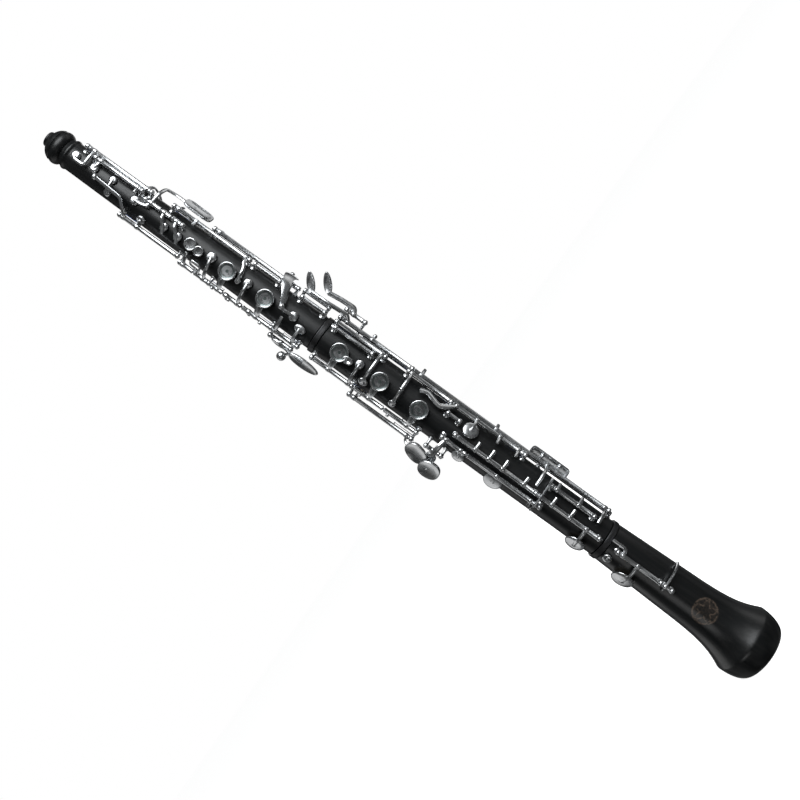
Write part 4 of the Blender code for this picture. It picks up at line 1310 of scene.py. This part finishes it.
line = line_of("right_hand_trill_key")
key("right_hand_trill_key", span_between(395.0, 378.0),
    rooted(line, 386.0, over(386.0, -68, 9.4), over(376.0, -62, 11.0), over(366.0, -60, 11.2),
           end_share=1.0),
    touch(over(386.0, -67, 9.6), facing(-58), UP, 0.0060, 0.0030),
    touch(over(364.8, -61, 11.2), facing(-38), UP, 0.0122, 0.0040, narrow=-0.08,
          thick=0.0017),
    arm(over(376.0, -62, 11.0), over(380.0, -71, 14.6)),
    knob(over(380.2, -72, 15.0), 0.0033))
print("made", made[-4:])

# %% [markdown]
# ## Keys of the lower joint
# Three large finger plates for the right hand, and small vents between them. The long
# snaking arm of the low D key passes beside the third plate.

# %% right-hand keys
line = line_of("e_key")
key("f_sharp_key", span_between(362.6, 329.7),
    rooted(line, 349.0, over(349.0, -23, 3.6), **WEDGE),
    plate_cup(349.0, 0, 6.5),
    plate_cup(341.4, -4, 2.6, OPEN_GAP, 3.8),
    rooted(line, 333.0, over(333.2, -30, 4.8), cup_top(333.4, 5, OPEN_GAP)),
    cup(333.4, 5, 3.2, OPEN_GAP),
    spring("f_sharp_key", 362.6, 352.0))
key("e_key", (328.2, 303.8),
    rooted(line, 315.8, over(316.0, -23, 3.6), **WEDGE),
    plate_cup(316.0, 0, 6.5),
    adjuster(over(322.0, -56, 5.6)),
    spring("e_key", 329.7, 318.5))
key("d_key", (303.2, 277.8),
    rooted(line, 284.2, over(284.0, -23, 3.6), **WEDGE),
    plate_cup(284.0, 0, 6.6),
    adjuster(over(299.0, -56, 5.6)),
    spring("d_key", 276.5, 289.0))

line = line_of("f_resonance_key")
key("f_resonance_key", span_between(362.6, 322.6),
    rooted(line, 325.6, over(325.6, 20, 4.6), over(325.6, -12, 3.8), cup_top(325.4, -31)),
    cup(325.4, -31, 3.0, SHUT_GAP, 3.8),
    spring("f_resonance_key", 362.6, 349.0))

line = line_of("low_d_key")
key("e_cross_key", span_between(304.2, 269.5),
    rooted(line, 301.6, over(301.4, 15, 4.6), over(301.0, -10, 3.8), cup_top(301.0, -33)),
    cup(301.0, -33, 3.0),
    knob(over(301.4, 15, 4.6), 0.0017),
    spring("e_cross_key", 269.5, 283.0))
key("low_d_key", span_between(269.5, 208.5),
    rooted(line, 248.0, cup_top(248.0, 33, OPEN_GAP)),
    cup(248.0, 33, 5.8, OPEN_GAP),
    rooted(line, 264.6, over(270.0, 44, 4.2), over(274.6, 34, 4.0), over(281.0, 40, 4.2),
           over(286.0, 46, 4.4), over(291.0, 39, 4.2), width=2.3, height=1.0, end_share=1.0),
    rooted(line, 214.0, over(214.0, 42, 4.6)),
    rooted(line, 229.0, over(229.0, 42, 4.6)),
    spring("low_d_key", 208.5, 223.0))
print("made", made[-9:])

# %% [markdown]
# The right little finger has three touches side by side, on three rods: E flat, low C
# sharp and low C. They stand proud of everything else on that side.

# %% right little finger
FRONT_LEFT = (0, -35, 1.0)          # the little finger's touches face this way
line = line_of("e_flat_key")
key("e_flat_key", span_between(328.0, 276.5),
    rooted(line, 280.6, over(279.0, -74, 12.4), over(271.0, -67, 14.0)),
    touch(over(268.6, -64, 14.8), place(FRONT_LEFT), (0.5, 0, 1), 0.0088, 0.0068,
          thick=0.0024, square=2.4),
    rooted(line, 324.0, cup_top(323.0, -94)),
    cup(323.0, -94, 4.0),
    spring("e_flat_key", 276.5, 292.0))
line = line_of("low_c_touch")
key("low_c_touch", span_between(266.0, 253.5),
    rooted(line, 260.0, over(259.4, -84, 9.0), over(257.4, -79, 16.6), over(257.0, -70, 18.6),
           width=2.0, height=1.2),
    touch(over(255.0, -69, 18.4), place(FRONT_LEFT), (-0.2, 0, 1), 0.0080, 0.0074,
          thick=0.0024, square=2.4))
line = line_of("c_sharp_key")
key("c_sharp_key", (259.8, 241.6),
    rooted(line, 257.6, over(259.0, -34, 8.6), over(259.6, -56, 11.6), width=1.8, height=1.1,
           end_share=1.2),
    touch(over(259.4, -59, 12.2), place(FRONT_LEFT), UP, 0.0042, 0.0042, thick=0.0016),
    rooted(line, 245.6, cup_top(244.7, -42, OPEN_GAP)),
    cup(244.7, -42, 4.8, OPEN_GAP),
    spring("c_sharp_key", 261.0, 249.0))
key("low_c_key", (241.0, 182.8),
    rooted(line, 216.2, cup_top(216.2, -42, OPEN_GAP)),
    cup(216.2, -42, 7.0, OPEN_GAP),
    rooted(line, 188.6, over(188.6, -34, 4.4)),
    spring("low_c_key", 181.5, 196.0))
print("made", made[-9:])

# %% [markdown]
# The lowest notes close cups that no finger can reach. Levers on their own tubes pass the
# movement down, and flat lugs on the tubes show where one leans on another.

# %% low-note levers and links
line = line_of("low_b_key")
key("c_b_link_lever", span_between(254.7, 189.0),
    rooted(line, 238.4, over(238.4, 20, 4.8)),
    rooted(line, 227.5, over(227.5, 24, 4.8)),
    rooted(line, 216.3, over(216.3, 24, 4.8)),
    rooted(line, 199.0, over(199.0, 20, 4.8)))
key("low_b_key", span_between(189.0, 137.5),
    rooted(line, 148.0, over(148.0, -26, 5.0), cup_top(147.1, -52, OPEN_GAP)),
    cup(147.1, -52, 7.2, OPEN_GAP),
    rooted(line, 161.4, over(161.4, 22, 4.8)),
    rooted(line, 176.0, over(176.0, 20, 4.8)),
    spring("low_b_key", 137.5, 144.0))
line = line_of("b_flat_bridge_lever")
key("b_flat_bridge_lever", span_between(182.8, 148.2),
    rooted(line, 161.0, over(161.0, 58, 4.8)),
    rooted(line, 178.6, over(178.6, 54, 4.8)),
    spring("b_flat_bridge_lever", 148.2, 158.0))
print("made", made[-6:])

# %% [markdown]
# The left little finger works its levers from far above. Their leaf-shaped touches stick
# out at the player's left, and one long tube runs down the side to the bell.

# %% left-hand levers
line = line_of("left_e_flat_lever")
e_flat_ear = over(388.0, 72, 9.6)
key("left_e_flat_lever", span_between(362.6, 303.5),
    rooted(line, 357.0, over(360.0, 74, 10.0), over(376.0, 70, 10.0), e_flat_ear, width=1.4,
           height=1.7, end_share=0.9),
    rooted(line, 336.6, over(336.6, 86, 7.6)),
    knob(over(336.6, 86, 7.8), 0.0016),
    ear(e_flat_ear, 0.0076, 0.0029),
    spring("left_e_flat_lever", 303.5, 318.0))
key("low_b_flat_link", span_between(303.5, 141.0),
    arm(on(line, 207.0), over(207.0, 82, 11.0), over(178.0, 82, 11.0), on(line, 178.0),
        end_share=1.0),
    arm(over(206.0, 82, 8.2), over(179.0, 82, 8.2), width=0.5, height=2.8, end_share=1.0),
    knob(over(198.6, 80, 9.0), 0.0015),
    knob(over(185.0, 80, 9.4), 0.0015),
    rooted(line, 192.0, over(192.0, 45, 6.4), over(192.0, 16, 5.2)),
    rooted(line, 144.2, over(144.2, 50, 6.0), over(144.2, 28, 5.2)),
    rooted(line, 296.0, over(296.0, 96, 9.0)),
    rooted(line, 234.0, over(234.0, 96, 7.6)),
    spring("low_b_flat_link", 141.0, 157.0))
line = line_of("left_b_flat_lever")
b_flat_ear = over(379.0, 88, 14.0)
key("left_b_flat_lever", span_between(362.6, 347.5),
    rooted(line, 357.0, over(359.0, 92, 15.0), over(370.0, 90, 15.0), b_flat_ear, width=1.4,
           height=1.9, end_share=0.9),
    ear(b_flat_ear, 0.0078, 0.0029))
print("made", made[-5:])

# %% [markdown]
# One key sits on the bell, and a lug reaches up from it towards the link above, so the joint
# still comes apart. At the back of the lower joint a rest carries the oboe's weight on the
# right thumb.

# %% bell key and thumb rest
line = line_of("bell_b_flat_key")
key("bell_b_flat_key", span_between(122.5, 88.0),
    rooted(line, 106.6, over(106.6, -28, 4.8), cup_top(107.4, -51, OPEN_GAP)),
    cup(107.4, -51, 8.0, OPEN_GAP),
    rooted(line, 118.6, over(119.6, 17, 5.0), over(130.0, 17, 5.0)),
    spring("bell_b_flat_key", 88.0, 99.0))


def thumb_rest():
    """A base screwed to the wood, a stem, and a plate that hooks over the thumb."""
    z = at(300.0)
    seat = wood_radius(z) + GAP
    base = bar([(z - 0.0105, 180, seat + 0.0010), (z + 0.0105, 180, seat + 0.0010)],
               4.0, 1.1, 1.0)
    stem = bar([(z, 180, seat + 0.0010), (z, 180, seat + 0.0062)], 2.6, 2.4, 0.9)
    shelf = oval(place((z, 180, seat + 0.0078)), (0, 0.25, -1), (0, 1, 0), 0.0072, 0.0075,
                 thick=0.0016)
    screws = []
    for side in (-0.0072, 0.0072):
        screws += adjuster((z + side, 180, seat + 0.0016), 0.0017, 0.0010).silver
    piece("thumb_rest_silver", [base, stem, shelf] + screws, SILVER, "silver_plate",
          "lower_joint_body", "thumb_rest")


thumb_rest()
print("made", made[-4:])
print(len(made), "pieces")

# %% [markdown]
# Some bars never move. Short rods guard the keys that pass beside them, and low bridges cross
# over the long tubes and keep them from lifting. They are screwed to the wood, so each rides
# on the body of its joint.

# %% fixed rods and bridges
def guard_rod(name, body, phi, rise, stations):
    """A plain rod between posts that stand on the wood."""
    stops = [over(station, phi, rise) for station in stations]
    shells = [shell for stop in stops for shell in post(stop)]
    shells.append(bar([stops[0], stops[-1]], 1.35, 1.35, 1.0))
    piece(name, shells, SILVER, "silver_plate", body)


def bridge(name, body, station, start, end, rise):
    """A flat bar that crosses the wood between two feet."""
    lean = 4 if end > start else -4
    stops = [over(station, start, 0.3), over(station, start + lean, rise - 0.8),
             over(station, start + 2 * lean, rise), over(station, end - 2 * lean, rise),
             over(station, end - lean, rise - 0.8), over(station, end, 0.3)]
    piece(name, [bar(stops, 1.4, 0.9, 1.0)], SILVER, "silver_plate", body)


guard_rod("inner_guard", "lower_joint_body", 43, 3.6, (360.6, 330.8))
guard_rod("lever_guard", "upper_joint_body", 62, 4.2, (391.0, 373.0))
guard_rod("outer_lever_guard", "upper_joint_body", 80, 6.6, (392.5, 372.6))
guard_rod("side_guard", "upper_joint_body", 62, 3.9, (429.5, 409.5))
guard_rod("rear_guard", "lower_joint_body", 98, 2.6, (343.0, 290.0, 238.0, 196.0, 138.0))
guard_rod("short_guard", "lower_joint_body", 33, 4.0, (267.0, 257.6))
bridge("link_bridge", "lower_joint_body", 185.5, 50, -36, 7.4)
bridge("bell_bridge", "bell_body", 84.4, 66, -8, 4.6)
guard_rod("bell_guard", "bell_body", 3, 3.7, (84.4, 79.0))
disc = cup(124.6, -28, 3.3)
piece("bell_stop", disc.silver, SILVER, "silver_plate", "bell_body")
print("fixed:", made[-8:])

# %% [markdown]
# ## Studio
# A pale floor lies under a pale sky. Silver needs something dark to reflect, so the sky is
# bright for the camera but dim in reflections, with a few soft patches like a real room.

# %% floor and sky
def pale_floor():
    bm = bmesh.new()
    bmesh.ops.create_circle(bm, cap_ends=True, segments=64, radius=6.0)
    mesh = bpy.data.meshes.new("floor")
    bm.to_mesh(mesh)
    bm.free()
    floor = bpy.data.objects.new("floor", mesh)
    bpy.context.scene.collection.objects.link(floor)
    paper = Finish("pale_paper", Emission_Strength=0.92, Roughness=0.9)
    cloud = paper.noise((6.0, 6.0, 6.0), 2.0)
    paper.feed("Base Color", paper.mix(cloud, (0.93, 0.93, 0.93), (0.90, 0.90, 0.90)))
    paper.shader.inputs["Emission Color"].default_value = (1.0, 1.0, 1.0, 1.0)
    mesh.materials.append(paper.material)
    floor.visible_glossy = False
    floor.visible_diffuse = False


def sky(seen, dim, bright):
    """White for the camera; for reflections a dim room with soft brighter patches."""
    world = bpy.data.worlds.new("studio")
    bpy.context.scene.world = world
    world.use_nodes = True
    tree = world.node_tree
    tree.nodes.clear()
    path = tree.nodes.new("ShaderNodeLightPath")
    blend = tree.nodes.new("ShaderNodeMixShader")
    here = tree.nodes.new("ShaderNodeTexCoord")
    patches = tree.nodes.new("ShaderNodeTexNoise")
    patches.inputs["Scale"].default_value = 2.6
    patches.inputs["Detail"].default_value = 1.0
    tree.links.new(here.outputs["Generated"], patches.inputs["Vector"])
    level = tree.nodes.new("ShaderNodeMapRange")
    for socket, value in (("From Min", 0.42), ("From Max", 0.62), ("To Min", dim),
                          ("To Max", bright)):
        level.inputs[socket].default_value = value
    tree.links.new(patches.outputs[0], level.inputs["Value"])
    room = tree.nodes.new("ShaderNodeBackground")
    tree.links.new(level.outputs[0], room.inputs["Strength"])
    white = tree.nodes.new("ShaderNodeBackground")
    white.inputs["Color"].default_value = (seen, seen, seen, 1.0)
    room.inputs["Color"].default_value = (0.96, 0.99, 1.0, 1.0)
    tree.links.new(path.outputs["Is Camera Ray"], blend.inputs[0])
    tree.links.new(room.outputs[0], blend.inputs[1])
    tree.links.new(white.outputs[0], blend.inputs[2])
    out = tree.nodes.new("ShaderNodeOutputWorld")
    tree.links.new(blend.outputs[0], out.inputs["Surface"])


pale_floor()
sky(seen=1.0, dim=0.015, bright=0.15)
print("floor and sky ready")

# %% [markdown]
# Five soft lights: a large key light high on the player's left, two long narrow ones that
# draw the edges of the tubes, a low fill from the front and a broad one behind, so that
# the back can be read as well.

# %% lights
AIM = Vector((0.0, 0.0, 0.31))


def softbox(name, azimuth, height, distance, size, watts, tint=(1.0, 1.0, 1.0)):
    """An area light at an angle round the oboe, aimed at its middle."""
    lamp = bpy.data.lights.new(name, "AREA")
    lamp.shape = "RECTANGLE"
    lamp.size, lamp.size_y = size
    lamp.energy = watts
    lamp.color = tint
    light = bpy.data.objects.new(name, lamp)
    light.location = place((height, azimuth, distance))
    light.rotation_euler = (AIM - light.location).to_track_quat("-Z", "Y").to_euler()
    bpy.context.scene.collection.objects.link(light)


softbox("key_light", 34, 1.15, 1.05, (1.15, 1.05), 25.0, (0.95, 0.98, 1.0))
softbox("left_soft", -105, 0.28, 0.85, (0.50, 0.9), 0.9)
softbox("rim_soft", 100, 0.42, 0.9, (0.40, 0.9), 0.8)
softbox("front_fill", -30, -0.20, 1.2, (0.6, 0.4), 0.8)
softbox("back_soft", 175, 0.80, 1.1, (0.9, 0.9), 3.0)
print("lights:", [light.name for light in bpy.data.lights])

# %% [markdown]
# The camera stands 70 cm from the oboe's middle, 8 degrees towards the player's left, and
# it is rolled so that the oboe lies across the picture from its crown, upper left, down
# to its bell.

# %% camera
CAMERA_DISTANCE, CAMERA_PHI = 0.703, 8.0
CAMERA_HEIGHT, CAMERA_SHIFT = 0.298, 0.0043         # where on the oboe it aims
LENS, SENSOR = 46.7, 36.0
OBOE_SLOPE = math.radians(35.8)
camera_data = bpy.data.cameras.new("camera")
camera_data.sensor_width = SENSOR
camera_data.lens = LENS
camera_data.clip_start = 0.01
camera = bpy.data.objects.new("camera", camera_data)
bpy.context.scene.collection.objects.link(camera)
towards = place((0.0, CAMERA_PHI, 1.0))
sideways = UP.cross(towards)
right = -UP * math.cos(OBOE_SLOPE) + sideways * math.sin(OBOE_SLOPE)
above = UP * math.sin(OBOE_SLOPE) + sideways * math.cos(OBOE_SLOPE)
spot = towards * CAMERA_DISTANCE + UP * CAMERA_HEIGHT - sideways * CAMERA_SHIFT
axes = Matrix((right, above, towards)).transposed().to_4x4()
camera.matrix_world = Matrix.Translation(spot) @ axes
bpy.context.scene.camera = camera
bpy.context.scene.view_settings.view_transform = "Standard"
print("camera at", tuple(round(value, 3) for value in camera.location))
